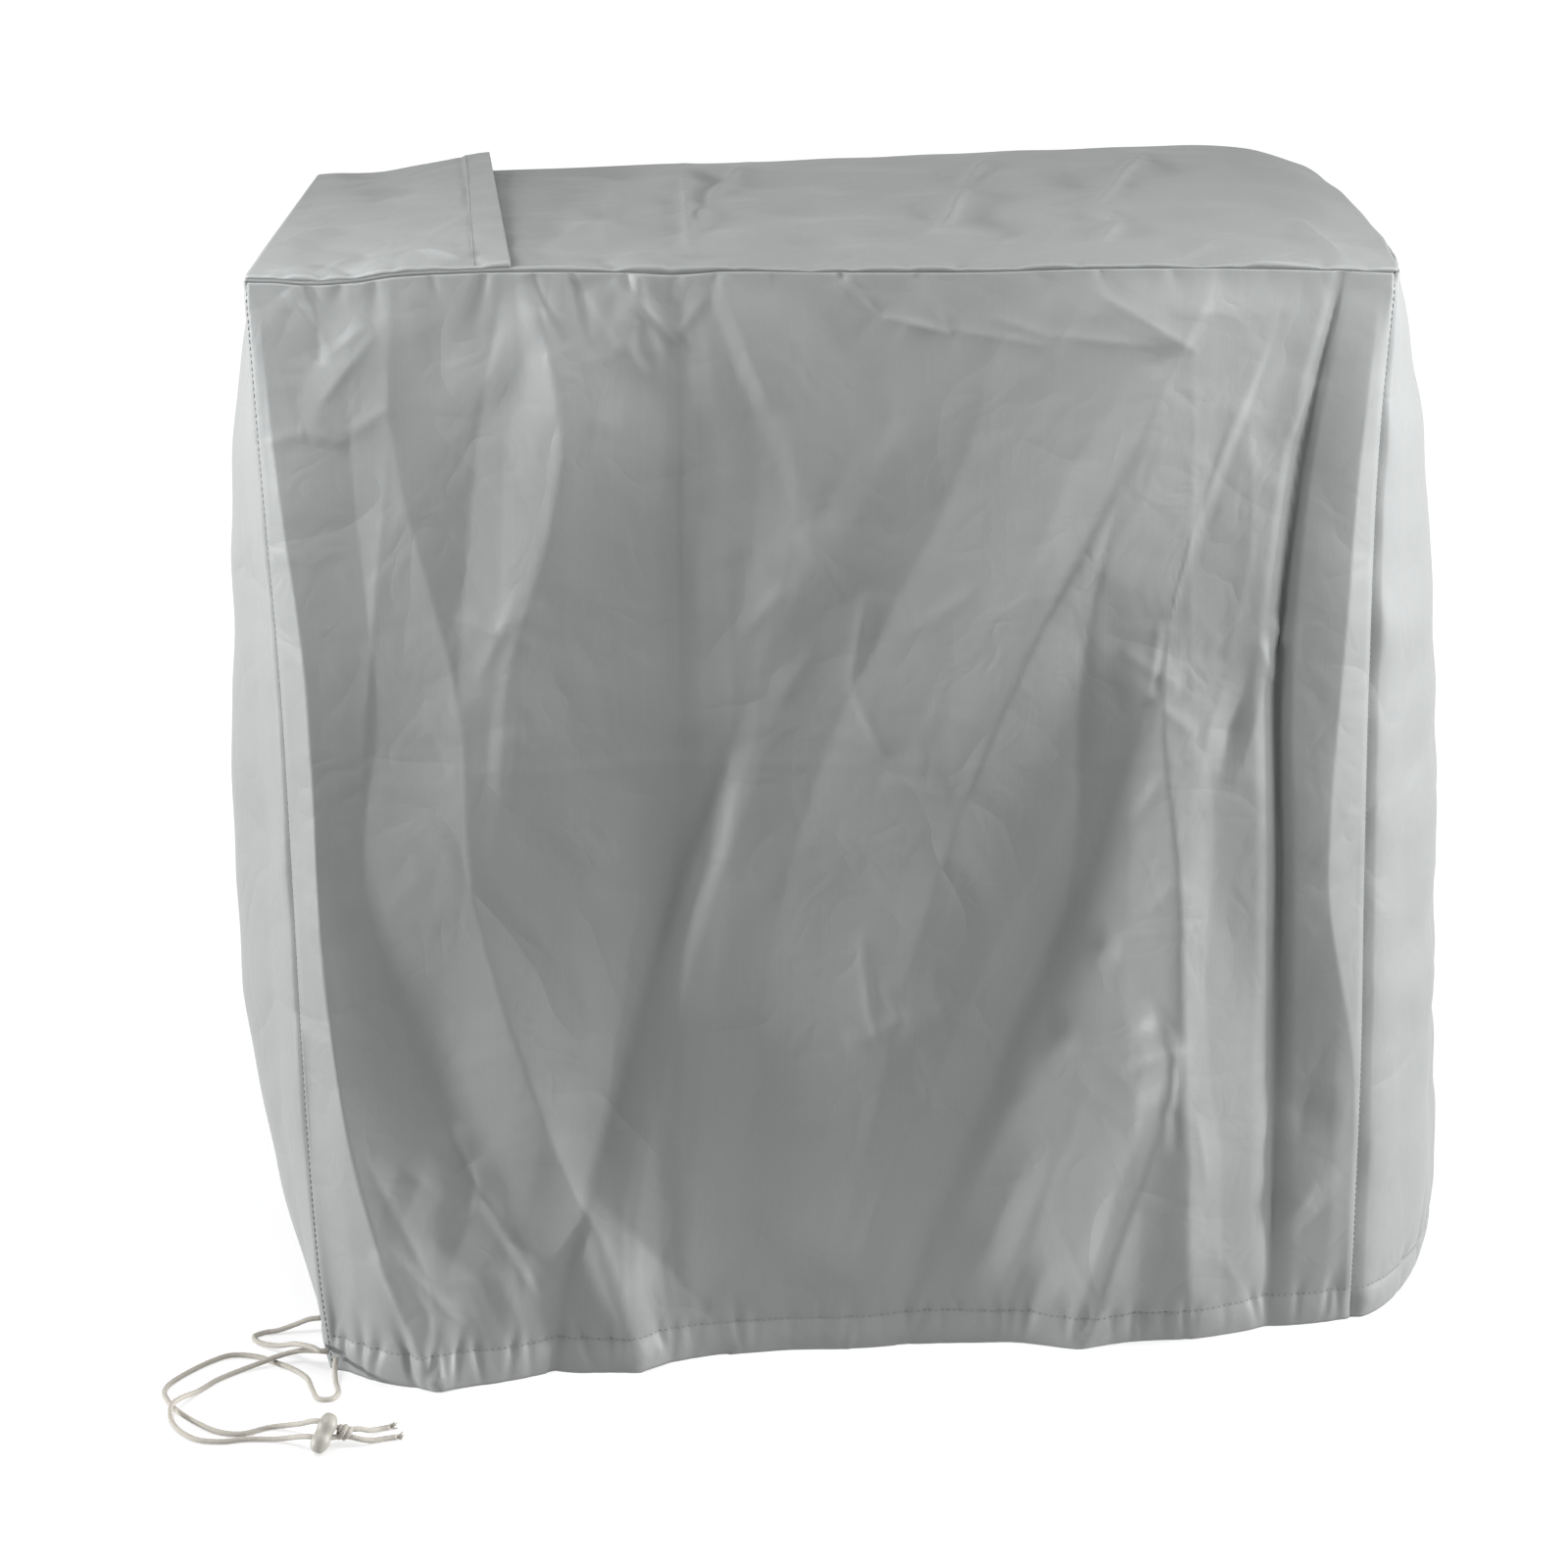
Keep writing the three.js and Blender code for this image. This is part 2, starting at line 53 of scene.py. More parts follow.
# %% Camera
CAMERA_PLACE = (-36.09, -2053.57, 362.03)
CAMERA_YAW, CAMERA_PITCH, CAMERA_ROLL = -0.0052672, 0.328465, -0.0237464
FOCAL_PIXELS, FRAME_PIXELS = 3736.1, 1600
SENSOR_WIDTH = 36.0


def add_object(name, data):
    """A new object with this data, linked into the scene."""
    made = bpy.data.objects.new(name, data)
    bpy.context.scene.collection.objects.link(made)
    return made


def camera_axes(yaw, pitch, roll):
    """Right, up and forward of a camera turned by yaw, then tilted down, then rolled."""
    forward = np.array([-np.sin(yaw) * np.cos(pitch), np.cos(yaw) * np.cos(pitch), -np.sin(pitch)])
    level_right = np.array([np.cos(yaw), np.sin(yaw), 0.0])
    level_up = np.cross(level_right, forward)
    right = level_right * np.cos(roll) + level_up * np.sin(roll)
    up = level_up * np.cos(roll) - level_right * np.sin(roll)
    return right, up, forward


right, up, forward = camera_axes(CAMERA_YAW, CAMERA_PITCH, CAMERA_ROLL)
camera_data = bpy.data.cameras.new("camera")
camera_data.sensor_width = SENSOR_WIDTH
camera_data.lens = FOCAL_PIXELS / FRAME_PIXELS * SENSOR_WIDTH
camera = add_object("camera", camera_data)
turn = Matrix([[right[i], up[i], -forward[i]] for i in range(3)]).to_4x4()
camera.matrix_world = Matrix.Translation([c * MM for c in CAMERA_PLACE]) @ turn
bpy.context.scene.camera = camera
print("lens:", round(camera_data.lens, 2), "mm")

# %% [markdown]
# ## Helpers for tables and meshes
# A fold of cloth is easiest to describe by a short table: a column of heights, and beside
# it where the fold is. A smooth curve through each column fills in what lies between. The
# CAD solids use the same kind of curve and of table, with softer folds in much the same
# places.

# %% Curves through tables
HEIGHT, WIDTH, DEPTH = 620.0, 600.0, 350.0
HALF_WIDTH, HALF_DEPTH = WIDTH / 2, DEPTH / 2
# the front right corner of the top lies a little further in than the others
FRONT_RIGHT = 299.0
# the heights of every table's columns, as distances below the top
LEVELS = [0, 100, 220, 340, 460, 560, 620]


def column(places, values, at):
    """Cubic curve through (places, values): each slope is that between the neighbours."""
    places, values = np.asarray(places, float), np.asarray(values, float)
    slope = np.empty(len(places))
    slope[1:-1] = (values[2:] - values[:-2]) / (places[2:] - places[:-2])
    slope[0] = (values[1] - values[0]) / (places[1] - places[0])
    slope[-1] = (values[-1] - values[-2]) / (places[-1] - places[-2])
    cell = np.clip(np.searchsorted(places, at, side="right") - 1, 0, len(places) - 2)
    span = places[cell + 1] - places[cell]
    t = np.clip((at - places[cell]) / span, 0, 1)
    start = (2 * t**3 - 3 * t**2 + 1) * values[cell] + (t**3 - 2 * t**2 + t) * span * slope[cell]
    end = (3 * t**2 - 2 * t**3) * values[cell + 1] + (t**3 - t**2) * span * slope[cell + 1]
    return start + end


def smooth(t):
    """S-shaped step: 0 below 0, 1 above 1, level at both ends."""
    t = np.clip(t, 0, 1)
    return t * t * (3 - 2 * t)


def mix(a, b, t):
    """Straight blend from a to b."""
    return a + (b - a) * t


def crowd(count, share=0.5):
    """Places from 0 to 1 that lie closer together near both ends, where the seams are."""
    t = np.linspace(0, 1, count)
    return mix(t, (1 - np.cos(np.pi * t)) / 2, share)


def unit(vectors):
    """Vectors of length 1."""
    return vectors / np.maximum(np.linalg.norm(vectors, axis=-1, keepdims=True), 1e-12)


print("a curve through the levels themselves, at 160:", round(float(column(LEVELS, LEVELS, 160.0)), 1))

# %% Grids of points as meshes
def add_mesh(name, points, faces):
    """A smooth mesh object from an array of points in millimetres and its faces."""
    mesh = bpy.data.meshes.new(name)
    mesh.from_pydata((points.reshape(-1, 3) * MM).tolist(), [], faces)
    mesh.polygons.foreach_set("use_smooth", np.ones(len(faces), bool))
    mesh.update()
    return add_object(name, mesh)


def make_grid(name, points, uv, wrap=False, caps=False):
    """A mesh object from a (rows, columns, 3) array in millimetres, with a UV map from a
    (rows, columns, 2) array. Wrap joins the last column to the first, caps closes both ends.
    Rows run down and columns run to the right, as the face is seen from outside."""
    rows, columns = points.shape[:2]
    index = np.arange(rows * columns).reshape(rows, columns)
    if wrap:
        index = np.concatenate([index, index[:, :1]], axis=1)
        uv = np.concatenate([uv, uv[:, :1] + [1, 0]], axis=1)
    corners = [index[:-1, :-1], index[1:, :-1], index[1:, 1:], index[:-1, 1:]]
    faces = np.stack(corners, axis=-1).reshape(-1, 4)
    uv_corners = [uv[:-1, :-1], uv[1:, :-1], uv[1:, 1:], uv[:-1, 1:]]
    loop_uv = np.stack(uv_corners, axis=2).reshape(-1, 2)
    polygons = faces.tolist()
    if caps:
        polygons += [index[0, :columns].tolist(), index[-1, :columns][::-1].tolist()]
        loop_uv = np.concatenate([loop_uv, uv[0, :columns], uv[-1, :columns][::-1]])
    piece = add_mesh(name, points, polygons)
    layer = piece.data.uv_layers.new(name="UVMap")
    layer.data.foreach_set("uv", loop_uv.astype(np.float32).ravel())
    return piece


def steps_along(points, axis):
    """Distance in millimetres from the first row or column to each, along the grid."""
    step = np.linalg.norm(np.diff(points, axis=axis), axis=-1)
    start = np.zeros_like(np.take(step, [0], axis=axis))
    return np.concatenate([start, np.cumsum(step, axis=axis)], axis=axis)


def normals_of(points):
    """Unit normals of a grid whose rows run down and columns run right."""
    return unit(np.cross(np.gradient(points, axis=0), np.gradient(points, axis=1)))


print("mesh helpers ready")

# %% [markdown]
# ## Shader maths
# A material is easier to read as an expression than as a list of links. A small class
# holds one socket and turns + - * into Math nodes. Every other node comes from a short
# method of the finish that it belongs to.

# %% Shader helper
class Amount:
    """A number that the shader works out for each point of a surface."""

    def __init__(self, finish, socket):
        self.finish = finish
        self.socket = socket

    def calculate(self, operation, first, second=None):
        """A Math node with this operation on one or two amounts or numbers."""
        return self.finish.node(
            "ShaderNodeMath", {"operation": operation}, {0: first, 1: second}, "Value"
        )

    def __add__(self, other):
        return self.calculate("ADD", self, other)

    def __radd__(self, other):
        return self.calculate("ADD", other, self)

    def __sub__(self, other):
        return self.calculate("SUBTRACT", self, other)

    def __mul__(self, other):
        return self.calculate("MULTIPLY", self, other)

    def sine(self):
        return self.calculate("SINE", self)

    def size(self):
        return self.calculate("ABSOLUTE", self)


class Finish:
    """A material and the nodes in it."""

    def __init__(self, name):
        self.material = bpy.data.materials.new(name)
        self.material.use_nodes = True
        self.tree = self.material.node_tree
        self.tree.nodes.clear()

    def node(self, kind, settings, sockets, output=None):
        """Adds a node: settings first, then socket values or links. Returns the node, or an
        Amount for the named output."""
        made = self.tree.nodes.new(kind)
        for key, value in settings.items():
            setattr(made, key, value)
        for key, value in sockets.items():
            if isinstance(value, Amount):
                self.tree.links.new(value.socket, made.inputs[key])
            elif value is not None:
                made.inputs[key].default_value = value
        return made if output is None else Amount(self, made.outputs[output])

    def object_place(self):
        return self.node("ShaderNodeTexCoord", {}, {}, "Object")

    def uv_places(self):
        """The UV map as one socket, and its parts u and v."""
        uv = self.node("ShaderNodeUVMap", {"uv_map": "UVMap"}, {}, "UV")
        parts = self.node("ShaderNodeSeparateXYZ", {}, {"Vector": uv})
        return uv, Amount(self, parts.outputs["X"]), Amount(self, parts.outputs["Y"])

    def noise(self, place, scale, detail=2.0, distortion=0.0):
        """Soft noise about 0.5, with scale lumps to a metre."""
        sockets = {"Vector": place, "Scale": scale, "Detail": detail, "Distortion": distortion}
        return self.node("ShaderNodeTexNoise", {}, sockets, "Fac")

    def bump(self, height, strength, distance, under=None):
        """The normal tilted by a height, with distance in metres, over another normal."""
        sockets = {"Strength": strength, "Distance": distance, "Height": height, "Normal": under}
        return self.node("ShaderNodeBump", {}, sockets, "Normal")

    def step(self, value, start, end, low=0.0, high=1.0):
        """S-shaped step from low to high while the value goes from start to end."""
        sockets = {"Value": value, "From Min": start, "From Max": end, "To Min": low, "To Max": high}
        return self.node("ShaderNodeMapRange", {"interpolation_type": "SMOOTHSTEP"}, sockets, "Result")

    def blend_colours(self, share, first, second):
        """Colour between the first, where the share is 0, and the second, where it is 1."""
        made = self.node("ShaderNodeMix", {"data_type": "RGBA"}, {"Factor": share})
        for key, value in ((6, first), (7, second)):
            if isinstance(value, Amount):
                self.tree.links.new(value.socket, made.inputs[key])
            else:
                made.inputs[key].default_value = value
        return Amount(self, made.outputs[2])

    def surface(self, **sockets):
        """Ends the material in one Principled BSDF: base_color stands for Base Color."""
        named = {key.replace("_", " ").title().replace("Ior", "IOR"): value for key, value in sockets.items()}
        bsdf = self.node("ShaderNodeBsdfPrincipled", {}, named, "BSDF")
        self.node("ShaderNodeOutputMaterial", {}, {"Surface": bsdf})
        return self.material


print("shader helper ready")

# %% [markdown]
# ## Draw cord: routes
# The free cord comes out of the hem at the front left corner. Two strands lie on the floor
# in a loose loop, go through the lock and end beyond the knot, and a third, short loop comes
# out of the left panel and goes back in. A rope simulation could drop such a cord, but it
# would lie anywhere, so its route is a given list of points. They are those of the
# CAD solids, with the way through the lock and the knot added. Heights are above the floor.

# %% Cord routes
FLOOR = -HEIGHT
CORD_DIAMETER = 3.0
LONG_STRAND = [
    (-288.2, -188.3, 8.6), (-288.2, -195.5, 7.4), (-287, -206, 4), (-284.6, -216, 1.8),
    (-287.6, -223, 1.7), (-294.6, -222.6, 1.7), (-299.4, -212, 1.7), (-304, -198, 1.7),
    (-312, -187.5, 1.7), (-324, -178, 1.7), (-337, -169.5, 1.7), (-351, -167.5, 1.7),
    (-361, -174, 1.7), (-375, -190, 1.7), (-382, -202, 1.7), (-383, -210, 1.7),
    (-379.5, -220, 1.7), (-374, -230, 1.7), (-361, -245, 1.7), (-346, -257.5, 1.7),
    (-333, -260.5, 1.7), (-319, -254, 1.7), (-309, -255.5, 3.6), (-300, -262.5, 8.2),
    (-294, -269.6, 13.2), (-289.4, -273.2, 15.4), (-284, -273.8, 14.4), (-279.4, -273, 11.4),
    (-274.8, -272.2, 9.6), (-270.3, -271.7, 9), (-267, -269.4, 7.8), (-262.5, -264.4, 4),
    (-258, -259.6, 1.9), (-252, -257, 1.7),
]
SHORT_STRAND = [
    (-294.1, -181.2, 9.6), (-302, -178.8, 9.2), (-311, -176.5, 8), (-322, -178, 6),
    (-333, -181.5, 3.4), (-343, -186, 1.7), (-355, -197, 1.7), (-364, -210, 1.8),
    (-371.5, -222.5, 4.6), (-375.5, -232, 5.2), (-374, -244, 2.6), (-366, -257.5, 1.7),
    (-356, -266, 1.7), (-343, -268.5, 1.7), (-330, -266.5, 1.7), (-314, -267.8, 2),
    (-305, -271, 4.4), (-299, -275.6, 7.4), (-292.8, -279.2, 9.2), (-287.4, -279.4, 8),
    (-281.4, -277, 7.2), (-275.6, -275.4, 6.8), (-270.6, -275.1, 6), (-267, -275, 4.8),
    (-260.5, -272.6, 2.2), (-254, -270, 1.7), (-247, -268.4, 1.7),
]
SIDE_LOOP = [
    (-301.6, -139, 9.6), (-309, -139, 8.8), (-318, -138.6, 5.2), (-328, -139.4, 2.2),
    (-335.5, -140.6, 1.7), (-340.6, -145.4, 1.7), (-336.6, -152.4, 1.7), (-325, -162, 4.2),
    (-315, -170.5, 9.4), (-308, -179, 13), (-301, -184.6, 14), (-296.6, -187.6, 13.2),
    (-292.95, -184.8, 12.4),
]


def smooth_route(points, step=1.5):
    """Centripetal Catmull-Rom curve through the points, at even steps. The knots are spaced
    by the square root of the distance between the points, which keeps turns from looping."""
    p = np.array(points, float) + [0, 0, FLOOR]
    p = np.concatenate([[2 * p[0] - p[1]], p, [2 * p[-1] - p[-2]]])
    knot = np.concatenate([[0], np.cumsum(np.linalg.norm(np.diff(p, axis=0), axis=1) ** 0.5)])
    cells = np.arange(len(p) - 3)
    t = mix(knot[cells + 1][:, None], knot[cells + 2][:, None], np.linspace(0, 1, 40, endpoint=False))

    def between(i, j, a, b):
        start, end = knot[cells + i][:, None], knot[cells + j][:, None]
        share = ((t - start) / (end - start))[..., None]
        return mix(a, b, share)

    a1 = between(0, 1, p[cells][:, None], p[cells + 1][:, None])
    a2 = between(1, 2, p[cells + 1][:, None], p[cells + 2][:, None])
    a3 = between(2, 3, p[cells + 2][:, None], p[cells + 3][:, None])
    line = between(1, 2, between(0, 2, a1, a2), between(1, 3, a2, a3)).reshape(-1, 3)
    line = np.concatenate([line, p[-2:-1]])
    return even_steps(line, step)


def even_steps(line, step):
    """The same line with its points a fixed step apart."""
    length = np.concatenate([[0], np.cumsum(np.linalg.norm(np.diff(line, axis=0), axis=1))])
    count = max(3, int(round(length[-1] / step)) + 1)
    at = np.linspace(0, length[-1], count)
    return np.stack([np.interp(at, length, line[:, i]) for i in range(3)], axis=1)


def length_of(line):
    """Length of a line of points, in millimetres."""
    return float(np.linalg.norm(np.diff(line, axis=0), axis=1).sum())


long_line = smooth_route(LONG_STRAND)
short_line = smooth_route(SHORT_STRAND)
loop_line = smooth_route(SIDE_LOOP)
for label, line in (("long strand", long_line), ("short strand", short_line), ("side loop", loop_line)):
    print(label, round(length_of(line), 1), "mm,", len(line), "points")

# %% [markdown]
# ## Draw cord: tubes
# A braided cord is a round tube. A curve with a round bevel would do for its shape. Here
# the section is carried along the route as a mesh, without twisting, because its UV map can
# then run round the cord and along it in metres, and the braid follows every bend.

# %% Tubes along a line
def carried_sides(line):
    """Two directions across the line at each point, carried from point to point: each is
    the one before with its part along the new direction taken out."""
    along = unit(np.gradient(line, axis=0))
    side = np.cross(along[0], [0.0, 0.0, 1.0])
    sides = []
    for direction in along:
        side = side - direction * (side @ direction)
        side = side / np.linalg.norm(side)
        sides.append(side)
    sides = np.array(sides)
    return sides, np.cross(along, sides)


def make_tube(name, line, radius, sides=12):
    """Round tube: each point of the line plus radius times the cosine and sine of the angle
    along the two directions across it. Radius is a number or one number a point."""
    across, over = carried_sides(line)
    angle = np.linspace(0, 2 * np.pi, sides, endpoint=False)
    radius = np.broadcast_to(np.asarray(radius, float), (len(line),))[:, None, None]
    ring = across[:, None] * np.cos(angle)[None, :, None] + over[:, None] * np.sin(angle)[None, :, None]
    points = line[:, None] + radius * ring
    along = np.concatenate([[0], np.cumsum(np.linalg.norm(np.diff(line, axis=0), axis=1))])
    uv = np.stack(np.broadcast_arrays(angle[None, :] / (2 * np.pi), along[:, None] * MM), axis=-1)
    return make_grid(name, points, uv, wrap=True, caps=True)


def cord_radius(line):
    """Half the cord's diameter, with the slight swell of each crossing of the braid."""
    count = len(line)
    return CORD_DIAMETER / 2 * (1 + 0.03 * np.sin(np.arange(count) * 2.1))


def fray(line, count, seed):
    """Lines of loose fibres at the end of a cord: they start on a small circle in the cord's
    end and spread, each curling a little on its own."""
    chance = np.random.default_rng(seed)
    across, over = carried_sides(line)
    forward_at_end = unit(line[-1] - line[-2])
    angle = np.arange(count) * 2.4
    out = np.cos(angle)[:, None] * across[-1] + np.sin(angle)[:, None] * over[-1]
    reach = chance.uniform(2.6, 4.6, count)[:, None, None]
    t = np.linspace(0, 1, 6)[None, :, None]
    start = line[-1] + out * (CORD_DIAMETER * 0.3 * np.sqrt((np.arange(count) % 5 + 0.6) / 5))[:, None]
    curl = chance.uniform(-0.5, 0.5, (count, 3))[:, None]
    lines = start[:, None] + reach * (t - 0.25) * (forward_at_end + (0.45 * out[:, None] + curl) * t)
    lines[..., 2] = np.maximum(lines[..., 2], FLOOR + 0.35)
    return lines


def join_pieces(name, parts):
    """One object from several, in the order given."""
    bpy.ops.object.select_all(action="DESELECT")
    for part in parts:
        part.select_set(True)
    bpy.context.view_layer.objects.active = parts[0]
    bpy.ops.object.join()
    parts[0].name = parts[0].data.name = name
    return parts[0]


def make_fray(name, line, seed):
    """The loose fibres of one cord end, as thin tubes in one mesh."""
    hairs = [make_tube(name + "_fibre", hair, 0.3, 6) for hair in fray(line, 16, seed)]
    return join_pieces(name, hairs)


long_strand = make_tube("cord_long_strand", long_line, cord_radius(long_line))
short_strand = make_tube("cord_short_strand", short_line, cord_radius(short_line))
side_loop = make_tube("cord_side_loop", loop_line, cord_radius(loop_line))
long_fray = make_fray("cord_long_fray", long_line, seed=3)
short_fray = make_fray("cord_short_fray", short_line, seed=8)
print("cord faces:", sum(len(o.data.polygons) for o in (long_strand, short_strand, side_loop)))

# %% [markdown]
# ## Lock and knot
# The lock is a bean of cream plastic with two holes side by side, one for each strand. Two
# joined spheres would come close, but the mould has no edge between them, so it is one
# round body whose radius changes along its axis: two lobes and a waist. The knot beyond it
# keeps the lock from slipping off: one strand is wound round both, and drawn up.

# %% Lock and knot
LOCK = {"radius": 5.9, "waist": 0.8, "spacing": 11.0, "lean": 47.0, "turn": 34.5}
LOCK_CENTRE = np.array([-285.5, -277.8, FLOOR + 10.4])
KNOT_CENTRE = np.array([-275.2, -273.7, FLOOR + 8.5])


def lock_axis():
    """Direction from the lower lobe to the upper: the y axis leaned and then turned."""
    lean, turn = np.radians(LOCK["lean"]), -np.radians(LOCK["turn"])
    leaned = np.array([0.0, np.cos(lean), np.sin(lean)])
    return np.array([-leaned[1] * np.sin(turn), leaned[1] * np.cos(turn), leaned[2]])


def lock_points(rings=40, sides=36):
    """Radius is the lobe's, times the sine of the polar angle to the power 0.7, times a
    waist that narrows between the lobes. A dimple sinks where each strand goes in or out."""
    axis = lock_axis()
    across = unit(np.cross(axis, [0.0, 0.0, 1.0]))
    over = np.cross(axis, across)
    polar = np.linspace(0, np.pi, rings)[:, None]
    angle = np.linspace(0, 2 * np.pi, sides, endpoint=False)[None, :]
    half = LOCK["spacing"] / 2 + LOCK["radius"]
    along = half * np.cos(polar)
    waist = mix(LOCK["waist"], 1, smooth(np.abs(along) / (LOCK["spacing"] / 2)))
    radius = LOCK["radius"] * np.maximum(np.sin(polar), 1e-3) ** 0.7 * waist
    ring = across * np.cos(angle)[..., None] + over * np.sin(angle)[..., None]
    points = LOCK_CENTRE + axis * along[..., None] + ring * radius[..., None]
    for line in (long_line, short_line):
        away = np.linalg.norm(points[:, :, None] - line[None, None], axis=-1).min(axis=-1)
        pull = 0.9 * np.exp(-((away / 2.2) ** 2))
        points = points - ring * pull[..., None]
    return points


def knot_line():
    """Two and a half turns round the strands, whose ends dive to the middle of the knot."""
    axis = unit(np.array([1.0, 0.08, -0.22]))
    across = unit(np.cross(axis, [0.0, 0.0, 1.0]))
    over = np.cross(across, axis)
    t = np.linspace(0, 1, 90)[:, None]
    angle = 2 * np.pi * 2.4 * t + 0.6
    reach = 3.1 * (1 - 0.75 * (np.abs(2 * t - 1) ** 6)) + 0.25 * np.sin(3 * angle)
    along = 6.4 * (t - 0.5) + 0.9 * np.sin(angle)
    return KNOT_CENTRE + axis * along + reach * (across * np.cos(angle) + over * np.sin(angle))


lock_grid = lock_points()
rings, sides = lock_grid.shape[:2]
round_share, along_share = np.linspace(0, 1, sides, endpoint=False), np.linspace(0, 1, rings)
lock_uv = np.stack(np.meshgrid(round_share, along_share), axis=-1)
lock = make_grid("lock_body", lock_grid, lock_uv, wrap=True, caps=True)
knot = make_tube("cord_knot_turns", knot_line(), 1.45, 12)
print("lock axis:", np.round(lock_axis(), 3), "knot length:", round(length_of(knot_line()), 1), "mm")

# %% [markdown]
# ## Hanging panels: main folds
# The cloth hangs from the corners of the top. A cloth simulation gives folds of its own
# choice, and these were pressed into the cloth in its bag, so they are laid one by one. The big
# ones were read from the photograph as a table: at seven heights, where the crest of each
# fold is, how far it stands out, and how wide its two flanks are. A flank is a sharp crease,
# a soft ridge or a round swell.

# %% Seams and fold tables
SEAMS = {
    "front_left": ([-300, -299, -297, -298, -299, -297, -292], [-175, -172, -170, -170, -173, -180, -185]),
    "front_right": ([299, 293, 292, 293, 295, 295, 295], [-175, -173, -170, -168, -165, -160, -154]),
    "back_left": ([-300] * 7, [175] * 7),
    "back_right": ([300] * 7, [175] * 7),
}
TOP_SEAMS = {
    "front": (
        [-300, -284, -266, -240, -223, -205, -160, -100, -77, -50, 0, 80, 140, 200, 262, 300],
        [5, 4.4, 2.6, 3.6, 5.8, 6.6, 7, 5.2, 3.6, 4.6, 3.0, 1, 1.2, 0, -2.6, -5],
    ),
    "back": ([-300, -200, -100, 0, 200, 262, 300], [0, 1, 2, 3, 6, 4, -8]),
}
FRONT_BELLY = [0, 13, 19, 17, 12, 9, 8]
FRONT_HEM = (
    [0, 0.06, 0.12, 0.175, 0.23, 0.29, 0.36, 0.58, 0.81, 0.93, 1],
    [0, 11, 16, 23, 21, 5, 1, 6, 5, 6, 0],
)
BULGES = {"left": [0, 28, 41, 49, 47, 30, 9], "right": [10, 42, 56, 62, 64, 69, 66]}
ROUNDNESS = {"left": 0.85, "right": 0.62}
BACK_BULGE = [0, 8, 12, 12, 10, 10, 6]
# the share of the height where the hem's own shape starts to take over, and how far it goes
HEM_SHAPE_FROM, HEM_SHAPE_OVER = 0.62, 0.36
# all rises of the front's folds are a little fuller than their table says
FOLD_FULLNESS = 1.15
PROFILES = {
    "crease": lambda t: 1 - t,
    "ridge": lambda t: (1 - t) ** 2,
    "swell": lambda t: (1 - t * t) ** 2,
}
# name, left and right profile, crest x, rise, left width, right width at each level
FRONT_FOLDS = [
    ("left edge", "crease", "ridge", [-293, -289, -280, -281, -274, -252, -228],
     [0, 4, 10, 13, 15, 16, 14], [6, 9, 17, 16, 22, 44, 64], [90, 100, 110, 100, 90, 80, 60]),
    ("left swag", "crease", "ridge", [-229, -225, -200, -195, -165, -130, -116],
     [0, 3, 9, 12, 14, 13, 12], [20, 24, 44, 60, 60, 44, 48], [60, 110, 160, 150, 140, 120, 90]),
    ("pull from the seam", "crease", "ridge", [-150, -138, -172, -182, -190, -190, -190],
     [3, 9, 4, 1, 0, 0, 0], [14, 46, 26, 20, 50, 50, 50], [50, 110, 110, 60, 40, 40, 40]),
    ("pressed line", "ridge", "crease", [-77, -77, -81, -86, -97, -101, -99],
     [-1, -4, -4, -3, -2, -2, -1], [60, 70, 70, 60, 50, 40, 40], [14, 20, 28, 28, 20, 16, 14]),
    ("left crossing", "ridge", "crease", [-36, -40, -44, -84, -124, -152, -164],
     [0, 0, -1, -5, -7, -8, -6], [60, 60, 60, 70, 70, 50, 40], [26, 26, 18, 18, 24, 34, 46]),
    ("middle pull", "crease", "swell", [-52, -16, -38, -50, -60, -60, -60],
     [1, 2.4, 1, 0, 0, 0, 0], [10, 20, 18, 14, 14, 14, 14], [40, 60, 60, 60, 60, 60, 60]),
    ("right swell", "crease", "crease", [206, 156, 96, 52, 22, 0, 0],
     [4, 15, 14, 9, 4, 1, 0], [110, 84, 84, 80, 70, 60, 60], [40, 56, 76, 82, 64, 50, 40]),
    ("right swag", "crease", "crease", [250, 206, 177, 186, 190, 195, 199],
     [0, 8, 13, 18, 20, 17, 9], [34, 50, 44, 57, 104, 146, 171], [24, 46, 62, 56, 52, 48, 44]),
    ("right pleat", "ridge", "ridge", [271, 250, 240, 243, 244, 245, 245],
     [-2, -5, -7, -6, -4, -3, -1], [8, 11, 14, 14, 14, 14, 14], [6, 7, 8, 9, 12, 14, 14]),
    ("right edge", "swell", "crease", [290, 281, 274, 270, 289, 290, 290],
     [0, 5, 8, 9, 2, 1, 1], [30, 60, 70, 70, 60, 50, 50], [8, 12, 18, 23, 6, 5, 5]),
    ("lower right crease", "ridge", "ridge", [190, 190, 190, 189, 180, 152, 133],
     [0, 0, 0, 0, 2, 5, 5], [30, 30, 30, 30, 34, 40, 40], [40, 40, 40, 40, 20, 30, 36]),
]
# place along the panel, rise, half width
SIDE_FOLDS = {
    "left": [(0.2, 6, 0.12), (0.52, -5, 0.14), (0.8, 7, 0.13)],
    "right": [(0.16, 5, 0.1), (0.45, -6, 0.15), (0.78, 6, 0.14)],
    "back": [(0.14, 8, 0.1), (0.36, -7, 0.12), (0.57, 9, 0.11), (0.82, -6, 0.12)],
}
print(len(FRONT_FOLDS), "folds on the front")

# %% Outer faces of the hanging panels
def corner_seam(name, down):
    """Points of a corner seam: x and y from its table, z straight from the top to the hem."""
    place, edge = name.split("_")[1], TOP_SEAMS[name.split("_")[0]][1]
    top = edge[0] if place == "left" else edge[-1]
    x, y = (column(LEVELS, values, down * HEIGHT) for values in SEAMS[name])
    return np.stack([x, y, mix(top, -HEIGHT, down)], axis=-1)


